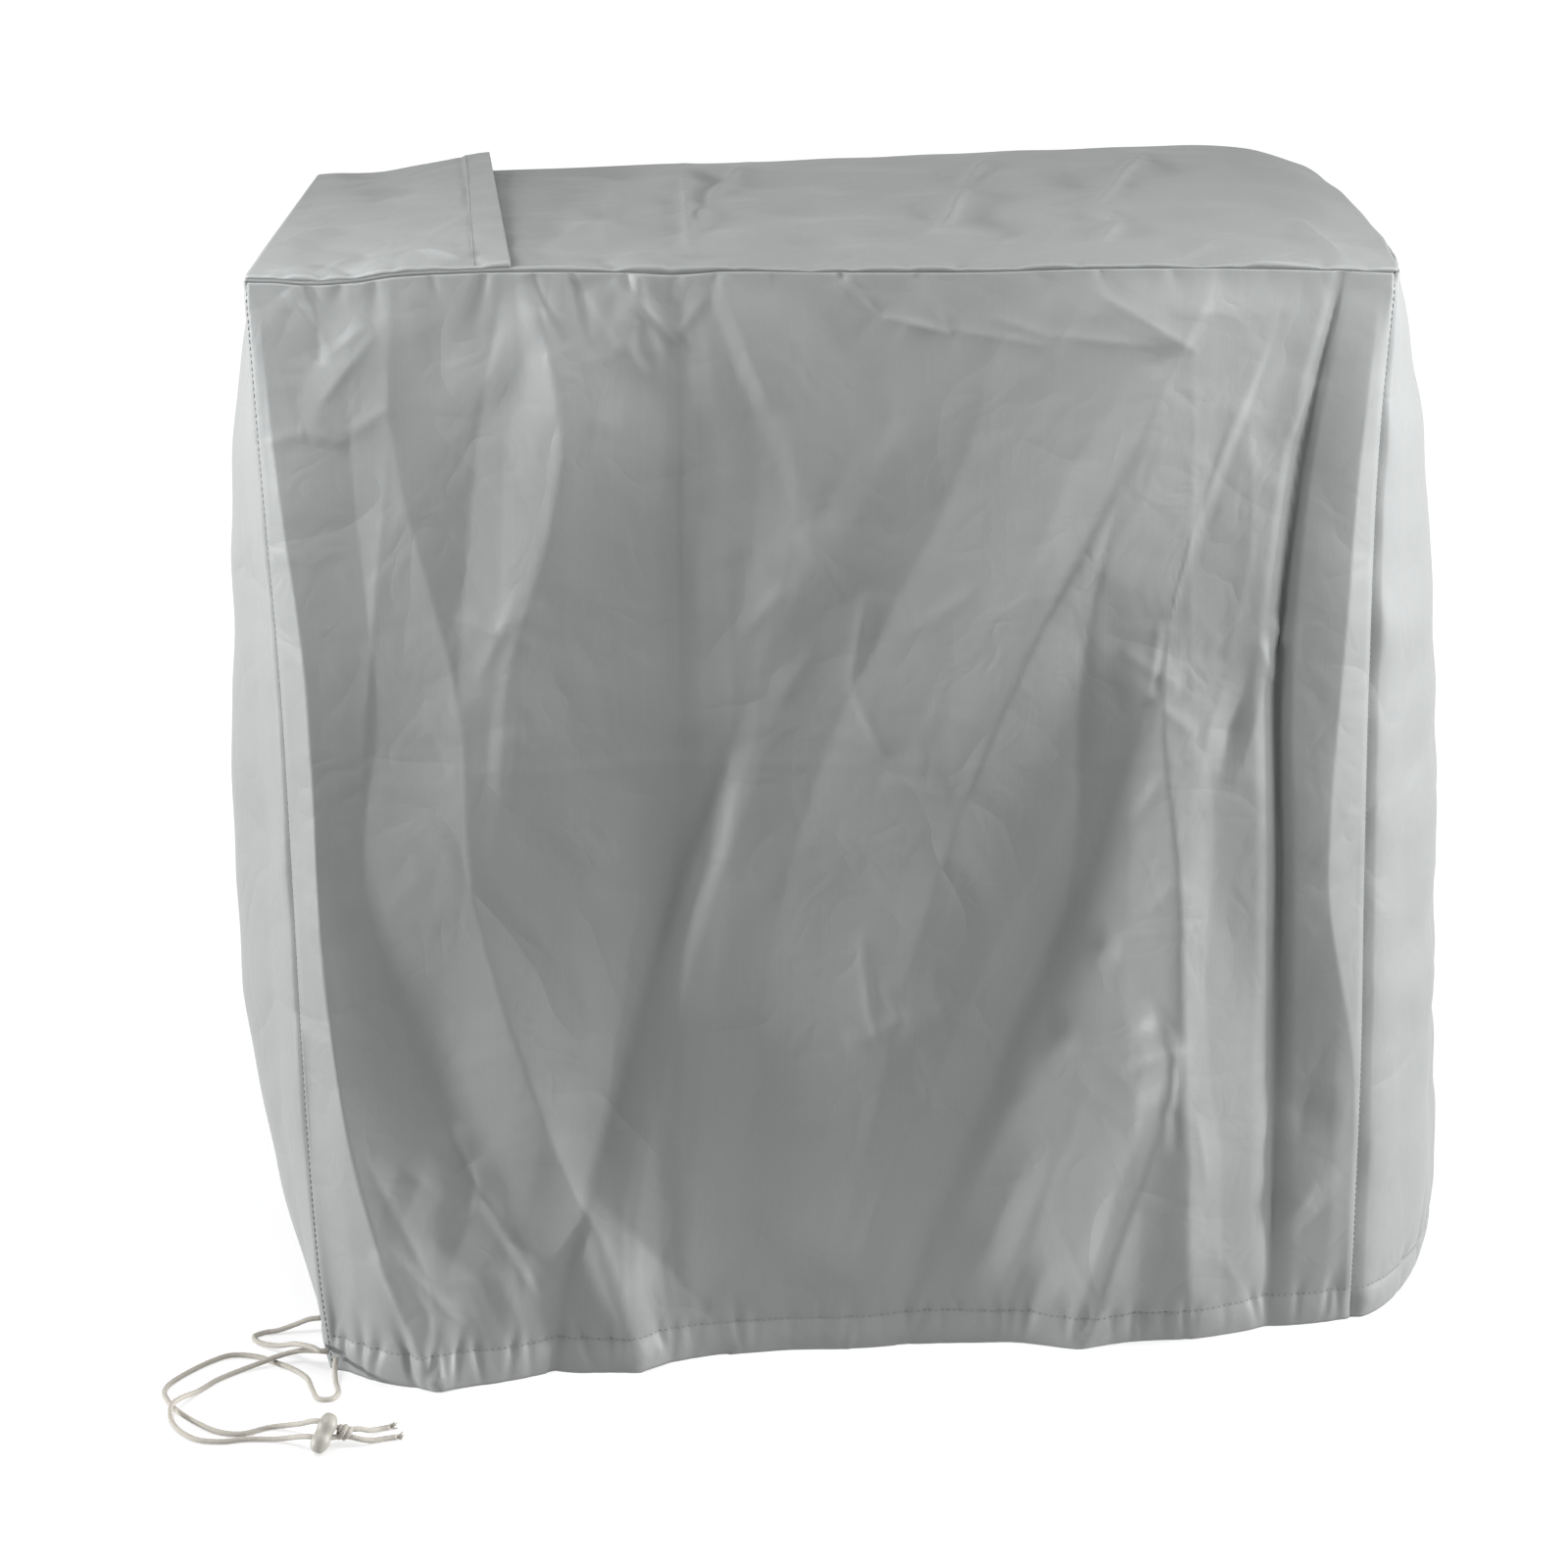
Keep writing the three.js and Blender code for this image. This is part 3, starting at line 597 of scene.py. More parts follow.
def fold_rise(fold, x, level):
    """Rise of one fold: its table's rise times its flank's profile of distance over width."""
    _, left, right_side, crest, rise, left_width, right_width = fold
    distance = x - column(LEVELS, crest, level)
    on_left = distance < 0
    width = np.where(on_left, column(LEVELS, left_width, level), column(LEVELS, right_width, level))
    t = np.minimum(1, np.abs(distance) / width)
    return column(LEVELS, rise, level) * np.where(on_left, PROFILES[left](t), PROFILES[right_side](t))


def soft_folds(folds, along):
    """Sum of round upright folds, each a swell about its place."""
    return sum(rise * PROFILES["swell"](np.minimum(1, np.abs(along - at) / half)) for at, rise, half in folds)


def front_face(along, down):
    """Straight between the corner seams, forward by belly or hem shape plus all folds."""
    left, right_seam = corner_seam("front_left", down), corner_seam("front_right", down)
    level = down * HEIGHT
    x = mix(left[..., 0], right_seam[..., 0], along)
    top = column(*TOP_SEAMS["front"], mix(-HALF_WIDTH, FRONT_RIGHT, along))
    to_hem = smooth((down - HEM_SHAPE_FROM) / HEM_SHAPE_OVER)
    belly = mix(column(LEVELS, FRONT_BELLY, level), column(*FRONT_HEM, along), to_hem)
    from_left, from_right = x - left[..., 0], right_seam[..., 0] - x
    inner = smooth(from_left / 24) * smooth(from_right / 18)
    edge = np.clip(from_left / 4, 0, 1) * np.clip(from_right / 4, 0, 1)
    folds = sum(
        fold_rise(fold, x, level) * (edge if fold[0].endswith("edge") else inner) for fold in FRONT_FOLDS
    )
    arc = np.maximum(np.sin(np.pi * along), 0) ** 0.6
    forward_by = belly * mix(arc, inner, to_hem) + FOLD_FULLNESS * folds * smooth(level / 26)
    y = mix(left[..., 1], right_seam[..., 1], along) - forward_by
    return np.stack([x, y, mix(top, -HEIGHT, down)], axis=-1)


def end_face(side, along, down):
    """From the front seam to the back seam, out by the bulge's table and the soft folds."""
    front, back = corner_seam("front_" + side, down), corner_seam("back_" + side, down)
    arc = np.maximum(np.sin(np.pi * along), 0) ** ROUNDNESS[side]
    out = column(LEVELS, BULGES[side], down * HEIGHT) * arc
    out = out + soft_folds(SIDE_FOLDS[side], along) * np.sqrt(np.maximum(np.sin(np.pi * down), 0))
    points = mix(front, back, along[..., None])
    points[..., 0] += out * (-1 if side == "left" else 1)
    return points


def back_face(along, down):
    """As the ends, out towards the back."""
    left, right_seam = corner_seam("back_left", down), corner_seam("back_right", down)
    top = column(*TOP_SEAMS["back"], mix(-HALF_WIDTH, HALF_WIDTH, along))
    out = column(LEVELS, BACK_BULGE, down * HEIGHT) * np.sqrt(np.maximum(np.sin(np.pi * along), 0))
    deep = np.sqrt(np.sin(np.pi * np.minimum(down, 0.96)))
    out = out + soft_folds(SIDE_FOLDS["back"], along) * deep
    points = mix(left, right_seam, along[..., None])
    points[..., 1] += out
    points[..., 2] = mix(top, -HEIGHT, down)
    return points


def rows_down(count):
    """Shares down a panel: rows four times as close in the seam, twice as close in the
    upper hundred millimetres, and closer at the hem."""
    level = np.linspace(0, HEIGHT, 3000)
    density = 1 + 1.1 * (1 - smooth(level / 110)) + 0.6 * smooth((level - 540) / 50)
    density = density + 2.4 * np.exp(-((level / 4) ** 2))
    share = np.cumsum(density) - density[0]
    return np.interp(np.linspace(0, 1, count), share / share[-1], level) / HEIGHT


COLUMNS_WIDE, COLUMNS_DEEP, ROWS = 366, 140, 246
along_wide, along_deep, down_rows = crowd(COLUMNS_WIDE), crowd(COLUMNS_DEEP), rows_down(ROWS)
wide_along, wide_down = np.meshgrid(along_wide, down_rows)
deep_along, deep_down = np.meshgrid(along_deep, down_rows)
front_base = front_face(wide_along, wide_down)
print("front reaches y =", round(float(front_base[..., 1].min()), 1))

# %% [markdown]
# ## Creases, puckers and gathers
# What makes thin coated cloth look real is the small relief on the big folds: sharp short
# creases that were pressed while the cover lay folded in its bag, puckers where the thread
# of a seam draws the cloth up, and the gathers of the hem. They could be sculpted or left
# to a bump map. Here each is a narrow ridge or trough of the surface itself, listed with its
# place in millimetres, so that it shows from every side and can be moved.

# %% Small relief
STITCH_LEVEL = 600.0


def crease_relief(x, z, rows):
    """Sum of narrow ridges along straight lines. A row gives both ends, the rise, and the
    width of either side; the rise falls off exponentially, half of it close to the crest
    and half over a wider foot, and fades at both ends."""
    total = np.zeros_like(x)
    for x1, z1, x2, z2, rise, left_width, right_width in rows:
        run = np.array([x2 - x1, z2 - z1], float)
        length = np.hypot(*run)
        run /= length
        t = ((x - x1) * run[0] + (z - z1) * run[1]) / length
        across = (x - x1) * run[1] - (z - z1) * run[0]
        width = np.where(across < 0, left_width, right_width)
        fade = np.sqrt(np.clip(np.sin(np.pi * np.clip(t, 0, 1)), 0, 1))
        soft = np.sqrt(across**2 + 0.5) - 0.7
        total += rise * fade * (0.45 * np.exp(-soft / (0.6 * width)) + 0.55 * np.exp(-soft / (2.6 * width)))
    return total


def facet_relief(x, z, lines):
    """Folds along lines of any direction. A line's points give x, z, rise and the width of
    the flank on its left and right, seen walking along it; the rise falls straight to zero
    over the width. Of a line's segments, the nearest one counts."""
    total = np.zeros_like(x)
    for line in lines:
        line = np.array(line, float)
        nearest = np.full_like(x, np.inf)
        height = np.zeros_like(x)
        for start, end in zip(line[:-1], line[1:]):
            run = end[:2] - start[:2]
            length = np.hypot(*run)
            t = np.clip(((x - start[0]) * run[0] + (z - start[1]) * run[1]) / length**2, 0, 1)
            side = (x - start[0]) * run[1] - (z - start[1]) * run[0]
            away = np.hypot(x - start[0] - t * run[0], z - start[1] - t * run[1])
            rise, left, right_side = (mix(start[i], end[i], t) for i in (2, 3, 4))
            width = np.where(side > 0, left, right_side)
            soft = np.sqrt(away**2 + 1.0) - 1.0
            here = rise * np.maximum(0, 1 - soft / width)
            closer = away < nearest
            height = np.where(closer, here, height)
            nearest = np.minimum(nearest, away)
        total += height
    return total


def scattered_creases(seed, count, width, height, rise=0.5):
    """Rows for crease_relief: short faint creases at random places, as crumpled cloth has."""
    chance = np.random.default_rng(seed)
    x, z = chance.uniform(-width / 2, width / 2, count), -chance.uniform(15, height - 60, count)
    angle, length = chance.uniform(0, np.pi, count), chance.uniform(18, 75, count)
    rises = rise * chance.uniform(0.35, 1.0, count) * chance.choice([-1, 1], count)
    left, right_side = chance.uniform(2.5, 12, count), chance.uniform(2.5, 12, count)
    dx, dz = np.cos(angle) * length / 2, np.sin(angle) * length / 2
    return np.stack([x - dx, z - dz, x + dx, z + dz, rises, left, right_side], axis=1)


def soft_relief(x, z, seed, size, rise):
    """Low smooth unevenness: a sum of sine waves of random directions about one size."""
    chance = np.random.default_rng(seed)
    total = np.zeros_like(x)
    for _ in range(9):
        angle, phase, stretch = chance.uniform(0, 2 * np.pi, 3)
        wave = 2 * np.pi / (size * (0.6 + 0.13 * stretch))
        total += np.sin(wave * (x * np.cos(angle) + z * np.sin(angle)) + phase)
    return total * rise / 3


def pucker_relief(s, level, places, strengths, lengths, leans, row, width=2.6):
    """Short troughs that cross a stitch row: each is deepest on the row and fades with the
    distance above and below it, and leans a little."""
    total = np.zeros_like(s)
    for place, strength, length, lean in zip(places, strengths, lengths, leans):
        rise = row - level
        fade = np.exp(-((np.where(rise > 0, rise / length, rise / 14)) ** 2))
        spread = width * (1 + np.maximum(rise, 0) / length)
        total -= strength * fade * np.exp(-(((s - place - lean * rise) / spread) ** 2))
    return total


def hem_gathers(s, level, length, pitches, seed):
    """Puckers of the drawn hem. Their spacing runs from the first pitch to the second."""
    chance = np.random.default_rng(seed)
    count = int(length / np.mean(pitches))
    share = (np.arange(count) + 0.5) / count
    share = share + (pitches[1] - pitches[0]) / sum(pitches) * share * (share - 1)
    places = share * length + chance.uniform(-4, 4, count)
    strengths = chance.uniform(0.5, 2.3, count)
    lengths = chance.uniform(7, 34, count)
    leans = chance.uniform(-0.25, 0.25, count)
    puckers = pucker_relief(s, level, places, strengths, lengths, leans, row=STITCH_LEVEL + 1)
    return puckers + casing_relief(level)


def casing_relief(level):
    """The hem's casing: round below the stitch row, with a shallow groove on the row."""
    below = level - STITCH_LEVEL
    return 1.5 * np.sin(np.pi * np.clip(below / 21, 0, 1)) - 0.4 * np.exp(-((below / 1.8) ** 2))


def seam_puckers(s, level, length, pitch, seed, strength=1.0):
    """Small troughs below a top seam, at uneven places."""
    chance = np.random.default_rng(seed)
    count = int(length / pitch)
    places = (np.arange(count) + chance.uniform(0.2, 0.8, count)) * pitch
    strengths = strength * chance.uniform(0.3, 1.0, count)
    lengths = chance.uniform(6, 22, count)
    leans = chance.uniform(-0.5, 0.5, count)
    return pucker_relief(s, -level, places, strengths, lengths, leans, row=0, width=3.2)


print("relief helpers ready")

# %% Creases of the front, read from the photograph
# x and z of both ends, rise, width of the flank on either side
FRONT_CREASES = [
    # long pressed lines from the folded pack
    (-223, 6, -229, -83, 0.5, 3, 5), (-229, -83, -254, -271, 0.6, 3, 6),
    (-76, 4, -79, -113, 1.0, 2.5, 5), (-79, -113, -84, -254, 1.0, 2.5, 5),
    (-84, -254, -88, -362, 0.9, 3, 6), (-88, -362, -102, -509, 0.7, 3, 6),
    (-102, -509, -97, -600, 0.5, 3, 6), (-270, -260, 250, -264, 0.35, 3, 3),
    (190, -20, 194, -300, 0.25, 3, 3),
    # smile below the left end of the top seam
    (-294, -82, -272, -76, 0.8, 3, 4), (-276, -76, -250, -82, 0.8, 4, 2.5),
    (-252, -80, -226, -62, 0.7, 4, 3), (-278, -2, -256, -32, 1.3, 5, 4),
    (-263, 4, -262, -40, -1.0, 5, 5), (-262, -38, -236, -20, 0.9, 4, 5),
    (-262, -60, -232, -24, 0.9, 5, 3),
    # star at the left
    (-198, -176, -155, -190, 0.9, 3, 5), (-162, -160, -188, -212, 0.9, 3, 6),
    (-176, -182, -150, -168, 0.6, 3, 4),
    # pulls from the seam above the pressed line
    (-108, 0, -76, -34, 1.6, 6, 4), (-76, -30, -52, 2, 1.2, 4, 6), (-122, -6, -92, -52, 1.3, 6, 5),
    (-128, 0, -120, -40, -1.0, 5, 5), (-151, 4, -134, -34, -1.1, 6, 6),
    (-96, 2, -88, -40, 1.0, 4, 4), (-50, -6, -28, -70, 0.9, 5, 7),
    # wrinkles under the middle of the seam
    (9, -2, 27, -22, 1.8, 3.5, 3), (25, -21, 66, -32, 1.8, 3, 4), (14, -8, 42, -30, -0.9, 4, 4),
    (64, -30, 120, -40, 1.0, 4, 3), (86, -24, 122, -36, 0.9, 4, 4), (118, -34, 172, -40, 1.2, 3, 4),
    (140, -12, 194, -44, 1.0, 4, 3), (48, -4, 62, -28, 0.8, 5, 5),
    # crumples of the middle
    (20, -168, 10, -224, 1.4, 4, 5), (10, -218, 29, -258, 1.3, 5, 4), (40, -192, 78, -166, 0.9, 4, 5),
    (27, -270, 62, -280, 0.9, 4, 4), (-15, -134, 9, -170, 1.1, 4, 5), (-46, -190, -22, -162, 1.0, 5, 5),
    (-30, -230, -8, -196, 0.8, 5, 5), (52, -230, 90, -246, 0.7, 5, 5), (4, -300, 40, -318, 0.6, 5, 5),
    # star low in the middle
    (14, -362, 20, -420, 1.5, 4, 5), (18, -417, 56, -407, 1.4, 4, 4), (4, -424, 38, -418, 1.0, 3, 4),
    (25, -388, 40, -422, 0.9, 4, 4), (40, -424, 54, -476, 1.1, 5, 4),
    # stars on the right
    (175, -188, 168, -230, 1.6, 4, 5), (154, -202, 186, -222, 1.2, 4, 4), (168, -226, 194, -250, 0.9, 4, 4),
    (168, -416, 190, -434, 1.8, 4, 4), (182, -428, 184, -466, 1.4, 4, 5), (158, -448, 184, -428, 1.2, 4, 4),
    (160, -300, 178, -270, 0.9, 4, 5), (170, -350, 186, -330, 0.8, 4, 4), (196, -470, 205, -520, 0.9, 4, 5),
    # lower left crumples
    (-263, -486, -230, -560, 1.6, 8, 6), (-213, -470, -184, -536, 1.5, 7, 5),
    (-255, -535, -214, -585, 1.4, 7, 7), (-231, -562, -185, -556, 1.1, 5, 6),
    (-204, -513, -164, -587, 1.4, 7, 5), (-186, -530, -160, -566, -1.0, 6, 6),
    (-150, -520, -128, -580, 0.9, 6, 6), (-240, -500, -206, -470, 0.9, 7, 7),
    # pleat and edge at the right
    (235, -190, 244, -206, 1.4, 3, 4), (228, -200, 238, -226, 1.2, 4, 4), (256, -60, 244, -92, 0.9, 4, 4),
    (262, -330, 284, -300, 0.7, 5, 5), (210, -560, 232, -596, 0.8, 5, 5), (120, -540, 150, -596, 0.7, 6, 6),
]
# longer folds of the front: points x, z, rise, width of the left flank and of the right
FRONT_FACETS = [
    # wedge under the left end of the seam, pulled towards its first pleat
    [(-234, -6, 0, 8, 34), (-247, -34, 1.3, 12, 34), (-262, -60, 1.1, 12, 34), (-271, -78, 0, 10, 34)],
    # the pull from the seam down to the left star
    [(-151, 4, 1, 8, 30), (-141, -40, 2, 14, 50), (-134, -62, 2.5, 26, 60), (-136, -85, 2.5, 30, 70),
     (-145, -125, 2, 26, 60), (-155, -155, 1.6, 18, 50), (-165, -182, 0.5, 10, 30)],
    [(-160, -20, 0, 20, 8), (-175, -50, 2, 22, 14), (-190, -76, 0, 20, 10)],
    [(-163, -190, 0, 10, 40), (-168, -240, 3, 14, 46), (-175, -300, 0, 12, 40)],
    # V above the pressed line
    [(-97, -1, 0.6, 6, 5), (-100, -22, 2.2, 10, 6), (-103, -40, 0, 10, 6)],
    [(-97, -2, 0.6, 5, 6), (-88, -40, 1.5, 5, 8), (-84, -62, 0, 5, 8)],
    [(-113, -50, 0, 8, 10), (-119, -72, 1.6, 8, 12), (-126, -94, 0, 8, 10)],
    # pressed line
    [(-77, -16, -0.5, 40, 6), (-77, -60, -2.2, 50, 9), (-77, -130, -2.6, 60, 11),
     (-79, -185, -2.2, 60, 13), (-83, -240, -1.6, 50, 14), (-88, -362, -1.0, 40, 10),
     (-97, -450, -0.5, 40, 10)],
    # middle pull
    [(-52, -8, 0.5, 7, 30), (-35, -50, 0.9, 8, 40), (-22, -85, 1.1, 9, 50), (-10, -115, 1.1, 9, 50),
     (-8, -145, 0.9, 9, 40), (-20, -175, 0.7, 9, 30), (-40, -210, 0.2, 8, 30)],
    # long diagonal from the middle of the seam
    [(38, -24, -0.3, 30, 12), (25, -65, -1.4, 40, 14), (10, -100, -1.7, 40, 16), (-5, -130, -1.2, 30, 14),
     (-14, -150, -0.5, 20, 10)],
    [(44, -56, 0, 10, 10), (32, -78, -1, 12, 10), (19, -102, 0, 10, 10)],
    # left crossing and its second branch
    [(-46, -228, -0.2, 30, 8), (-57, -262, -2.6, 40, 10), (-65, -285, -3, 50, 11), (-75, -320, -3.2, 50, 12),
     (-85, -340, -3.2, 50, 12), (-93, -370, -3.2, 50, 12), (-97, -400, -3, 40, 12),
     (-100, -430, -2.4, 40, 12), (-102, -480, -2, 30, 12), (-103, -550, -1.8, 30, 12),
     (-99, -594, -1.4, 30, 12)],
    [(-102, -404, -0.5, 20, 12), (-120, -450, -3, 30, 16), (-131, -480, -4, 34, 18), (-144, -520, -5, 30, 22),
     (-152, -555, -6, 24, 28), (-165, -606, -6, 20, 36)],
    # crease that ends in the triangle at the hem
    [(-151, -505, 0, 30, 10), (-145, -522, 2, 40, 10), (-132, -560, 8, 50, 26), (-117, -612, 14, 60, 46)],
    # small folds low at the left
    [(-252, -535, 0, 14, 10), (-235, -500, 4, 16, 12), (-224, -488, 0, 14, 10)],
    [(-226, -562, 0, 14, 10), (-212, -535, 3, 16, 9), (-203, -518, 3.5, 16, 7), (-199, -486, 0, 14, 6)],
    [(-262, -536, 0, 10, 12), (-246, -552, 3, 10, 24), (-234, -575, 7, 10, 34), (-229, -612, 11, 12, 44)],
    [(-196, -550, 0, 16, 18), (-184, -580, 4, 18, 18), (-178, -606, 4, 18, 18)],
    # low in the middle, two slopes up to the hem
    [(-4, -516, 0, 14, 50), (-25, -555, 4, 22, 60), (-40, -577, 5, 26, 60), (-56, -604, 5, 26, 60)],
    [(46, -520, 0, 50, 10), (28, -560, 4, 50, 18), (10, -604, 5, 50, 24)],
    # lens under the right half of the seam
    [(100, -24, 0, 30, 50), (120, -44, 2, 40, 60), (138, -92, 0, 40, 40)],
    [(154, -30, 0, 6, 12), (175, -36, 1.6, 6, 12), (190, -39, 0, 5, 8)],
    [(158, -47, 0, 6, 8), (174, -49, -1.2, 6, 6), (190, -39, 0, 5, 5)],
    # long edge of the right swell
    [(178, -50, 0, 16, 30), (165, -90, 3, 24, 40), (150, -117, 4, 26, 50), (135, -150, 4, 24, 50),
     (114, -180, 0, 20, 40)],
    [(210, -74, 0, 30, 10), (203, -100, -3, 30, 20), (196, -130, -5, 34, 28), (188, -155, -6, 40, 34),
     (178, -200, -5, 40, 34), (172, -222, -2, 30, 20)],
    # facets of the right star
    [(156, -204, 0, 12, 10), (166, -226, 2.5, 10, 8), (160, -252, 0, 12, 10)],
    # valley from the right star to the hem
    [(174, -230, -1, 18, 14), (160, -265, -2, 22, 32), (147, -300, -3, 24, 46), (135, -335, -4, 26, 58),
     (120, -365, -5, 28, 70), (97, -425, -6, 30, 84), (85, -465, -6.5, 32, 88), (70, -500, -6.5, 34, 90),
     (52, -550, -6.5, 36, 90), (36, -600, -6, 36, 90)],
    # dents between the valley and the right swag
    [(128, -412, 0, 12, 8), (121, -430, -3, 12, 10), (112, -448, 0, 12, 8)],
    [(150, -358, 0, 12, 8), (145, -374, -3, 12, 10), (138, -390, 0, 12, 8)],
    [(111, -488, 0, 14, 10), (99, -520, -3, 16, 12), (84, -557, -4, 18, 14), (64, -598, -3, 18, 14)],
    [(121, -560, 0, 10, 10), (112, -580, -3, 12, 10), (104, -602, -3, 12, 10)],
    [(174, -448, 0, 30, 10), (165, -490, 5, 34, 26), (155, -520, 7, 36, 38), (148, -550, 8, 36, 48),
     (133, -612, 9, 36, 62)],
    [(170, -400, 0, 14, 6), (178, -416, 3.5, 16, 6), (184, -430, 2, 12, 5), (178, -464, 3, 12, 6),
     (180, -496, 0, 12, 6)],
    # crease of the right swag
    [(175, -232, 1, 20, 14), (183, -280, 2.2, 24, 20), (185, -320, 2.2, 24, 20), (182, -400, 2.4, 24, 18),
     (187, -460, 2.6, 24, 18), (193, -500, 3, 26, 20), (195, -600, 2.6, 26, 20)],
    # hollow beside the pleat
    [(226, -212, 0, 10, 8), (215, -250, -4, 12, 10), (206, -284, 0, 10, 8)],
    # low at the right
    [(240, -478, 0, 16, 16), (262, -482, -3.5, 18, 20), (284, -486, 0, 16, 16)],
    [(244, -562, 0, 10, 14), (262, -537, 3.5, 12, 16), (278, -516, 0, 10, 12)],
]
# along the top seam: x, strength, length down the cloth, lean
FRONT_SEAM_PUCKERS = np.array([
    (-267, 1.6, 18, 0.3), (-250, 1.2, 12, -0.2), (-232, 1.0, 20, 0.0), (-202, 1.0, 14, 0.2),
    (-176, 1.4, 22, -0.2), (-149, 1.2, 24, 0.3), (-129, 1.6, 18, 0.3), (-101, 1.8, 22, 0.4),
    (-76, 1.2, 16, -0.2), (-55, 1.4, 20, -0.4), (-26, 0.8, 12, 0.0), (9, 1.8, 16, 0.6),
    (48, 1.0, 14, 0.3), (80, 0.6, 10, 0.0), (112, 0.7, 12, 0.2), (144, 1.2, 16, 0.4),
    (182, 1.0, 14, 0.2), (208, 0.7, 12, -0.2), (233, 0.9, 14, -0.3), (271, 1.8, 16, -0.3),
])
# along the hem: x, strength, length up the cloth, lean
HEM_PUCKERS = np.array([
    (-290, 1.6, 26, 0.1), (-283, 1.4, 14, -0.1), (-272, 2.2, 22, 0.0), (-262, 1.8, 12, 0.2),
    (-245, 2.4, 24, -0.2), (-232, 2.8, 20, 0.1), (-226, 1.2, 10, 0.0), (-218, 2.0, 18, 0.2),
    (-207, 1.6, 12, -0.1), (-187, 1.8, 20, 0.2), (-178, 1.4, 14, 0.0), (-161, 1.2, 16, 0.3),
    (-146, 2.4, 20, -0.2), (-131, 1.8, 14, 0.1), (-123, 1.2, 10, 0.0), (-105, 1.6, 18, -0.2),
    (-97, 1.2, 10, 0.1), (-87, 1.4, 12, 0.0), (-82, 1.0, 16, 0.2), (-60, 1.6, 14, -0.1),
    (-50, 1.0, 10, 0.1), (-30, 0.6, 12, 0.0), (-12, 0.6, 10, 0.0), (3, 1.2, 12, 0.2),
    (8, 0.8, 10, 0.0), (22, 0.5, 10, 0.0), (36, 1.0, 12, -0.1), (47, 2.0, 16, 0.5), (57, 1.6, 14, 0.1),
    (66, 1.0, 10, 0.0), (80, 1.2, 12, -0.2), (90, 1.8, 14, 0.0), (97, 1.0, 10, 0.1),
    (107, 1.6, 14, 0.2), (128, 1.0, 12, 0.0), (138, 2.6, 20, 0.3), (152, 0.6, 10, 0.0),
    (165, 1.2, 12, 0.1), (170, 0.8, 10, 0.0), (183, 0.6, 12, 0.0), (195, 1.4, 14, 0.0),
    (200, 1.0, 10, 0.1), (218, 0.5, 10, 0.0), (235, 1.4, 14, -0.2), (242, 1.0, 10, 0.0),
    (262, 0.8, 12, 0.1), (280, 1.4, 14, 0.2), (285, 1.0, 10, 0.0),
])
print(len(FRONT_CREASES), "creases and", len(FRONT_SEAM_PUCKERS), "seam puckers on the front")

# %% [markdown]
# ## Sewing the panels
# On the real cover two cloths meet in a seam that is turned inwards, so a fine groove shows
# between them. The panels could be one mesh with a crease, but five sheets that meet are
# nearer to how the cover is sewn. Each panel gets its relief along its own normal. Near a
# sewn border the relief dies away and both panels dive into one groove, where their borders
# meet. At the hem the cloth turns round the lower edge and goes up inside, as a casing.

# %% Sew a panel
RIM_DEPTH, RIM_WIDTH = 3.0, 1.25
CORNER_DEPTH, GROOVE_WIDTH = 1.1, 1.5
CREASE_DEPTH = 1.5
HEM_HEIGHT, HEM_TURN = 20.0, 1.7
RIGHT, LEFT, BACK, FRONT, DOWN = (1, 0, 0), (-1, 0, 0), (0, 1, 0), (0, -1, 0), (0, 0, -1)


def sew_panel(points, relief, face, start=None, end=None, top=None, bottom=None, lip=0.0):
    """Base grid plus relief along the normal, with a groove at every sewn border. Face,
    start, end, top and bottom are the directions that lead from each into the cover. A rim
    is deeper than a corner seam, and a lip beside it overhangs it by its size."""
    across, down = steps_along(points, 1), steps_along(points, 0)
    distances = {
        "start": across, "end": across[:, -1:] - across,
        "top": down, "bottom": down[-1:] - down,
    }
    inward = {"start": start, "end": end, "top": top, "bottom": bottom}
    hanging = top is DOWN
    corner_depth = mix(RIM_DEPTH, CORNER_DEPTH, smooth(down / 12)) if hanging else RIM_DEPTH
    hold = np.ones(points.shape[:2])
    sunk = np.zeros(points.shape[:2])
    moved = points.copy()
    for border, direction in inward.items():
        if direction is None:
            continue
        rim = hanging and border == "top"
        away = distances[border]
        near = np.exp(-((away / (RIM_WIDTH if rim else GROOVE_WIDTH)) ** 2))
        near = near * (RIM_DEPTH if rim else corner_depth)
        hold *= smooth(away / (3 if rim or lip else 8))
        sunk = np.maximum(sunk, near)
        overhang = lip * (away / 1.6) ** 2 * np.exp(1 - (away / 1.6) ** 2)
        moved += np.array(direction, float) * (near - overhang)[..., None]
    moved += np.array(face, float) * sunk[..., None]
    return moved + normals_of(points) * (relief * hold)[..., None]


def turn_hem(points, face, start, end):
    """Adds the part of the hem that is turned up inside: the lowest rows again, from the
    hem's edge up to the stitch row, moved into the cover by the thickness of the casing."""
    across = steps_along(points, 1)
    height = points[..., 2] + HEIGHT
    first = int(np.argmin(np.abs(height[:, 0] - HEM_HEIGHT)))
    inner = points[first:][::-1].copy()
    near_start = np.exp(-((across[first:][::-1] / 3) ** 2))[..., None]
    near_end = np.exp(-(((across[:, -1:] - across)[first:][::-1] / 3) ** 2))[..., None]
    shift = np.array(face, float) + near_start * np.array(start) + near_end * np.array(end)
    round_off = np.minimum(1, (height[first:][::-1] + 0.6) / 1.2)[..., None] ** 0.5
    inner += shift * HEM_TURN * round_off
    inner[..., 2] = np.maximum(inner[..., 2], FLOOR + 0.15)
    return np.concatenate([points, inner[1:]])


def cloth_uv(points):
    """UV in metres along the cloth: across each row, and down each column."""
    return np.stack([steps_along(points, 1), -steps_along(points, 0)], axis=-1) * MM


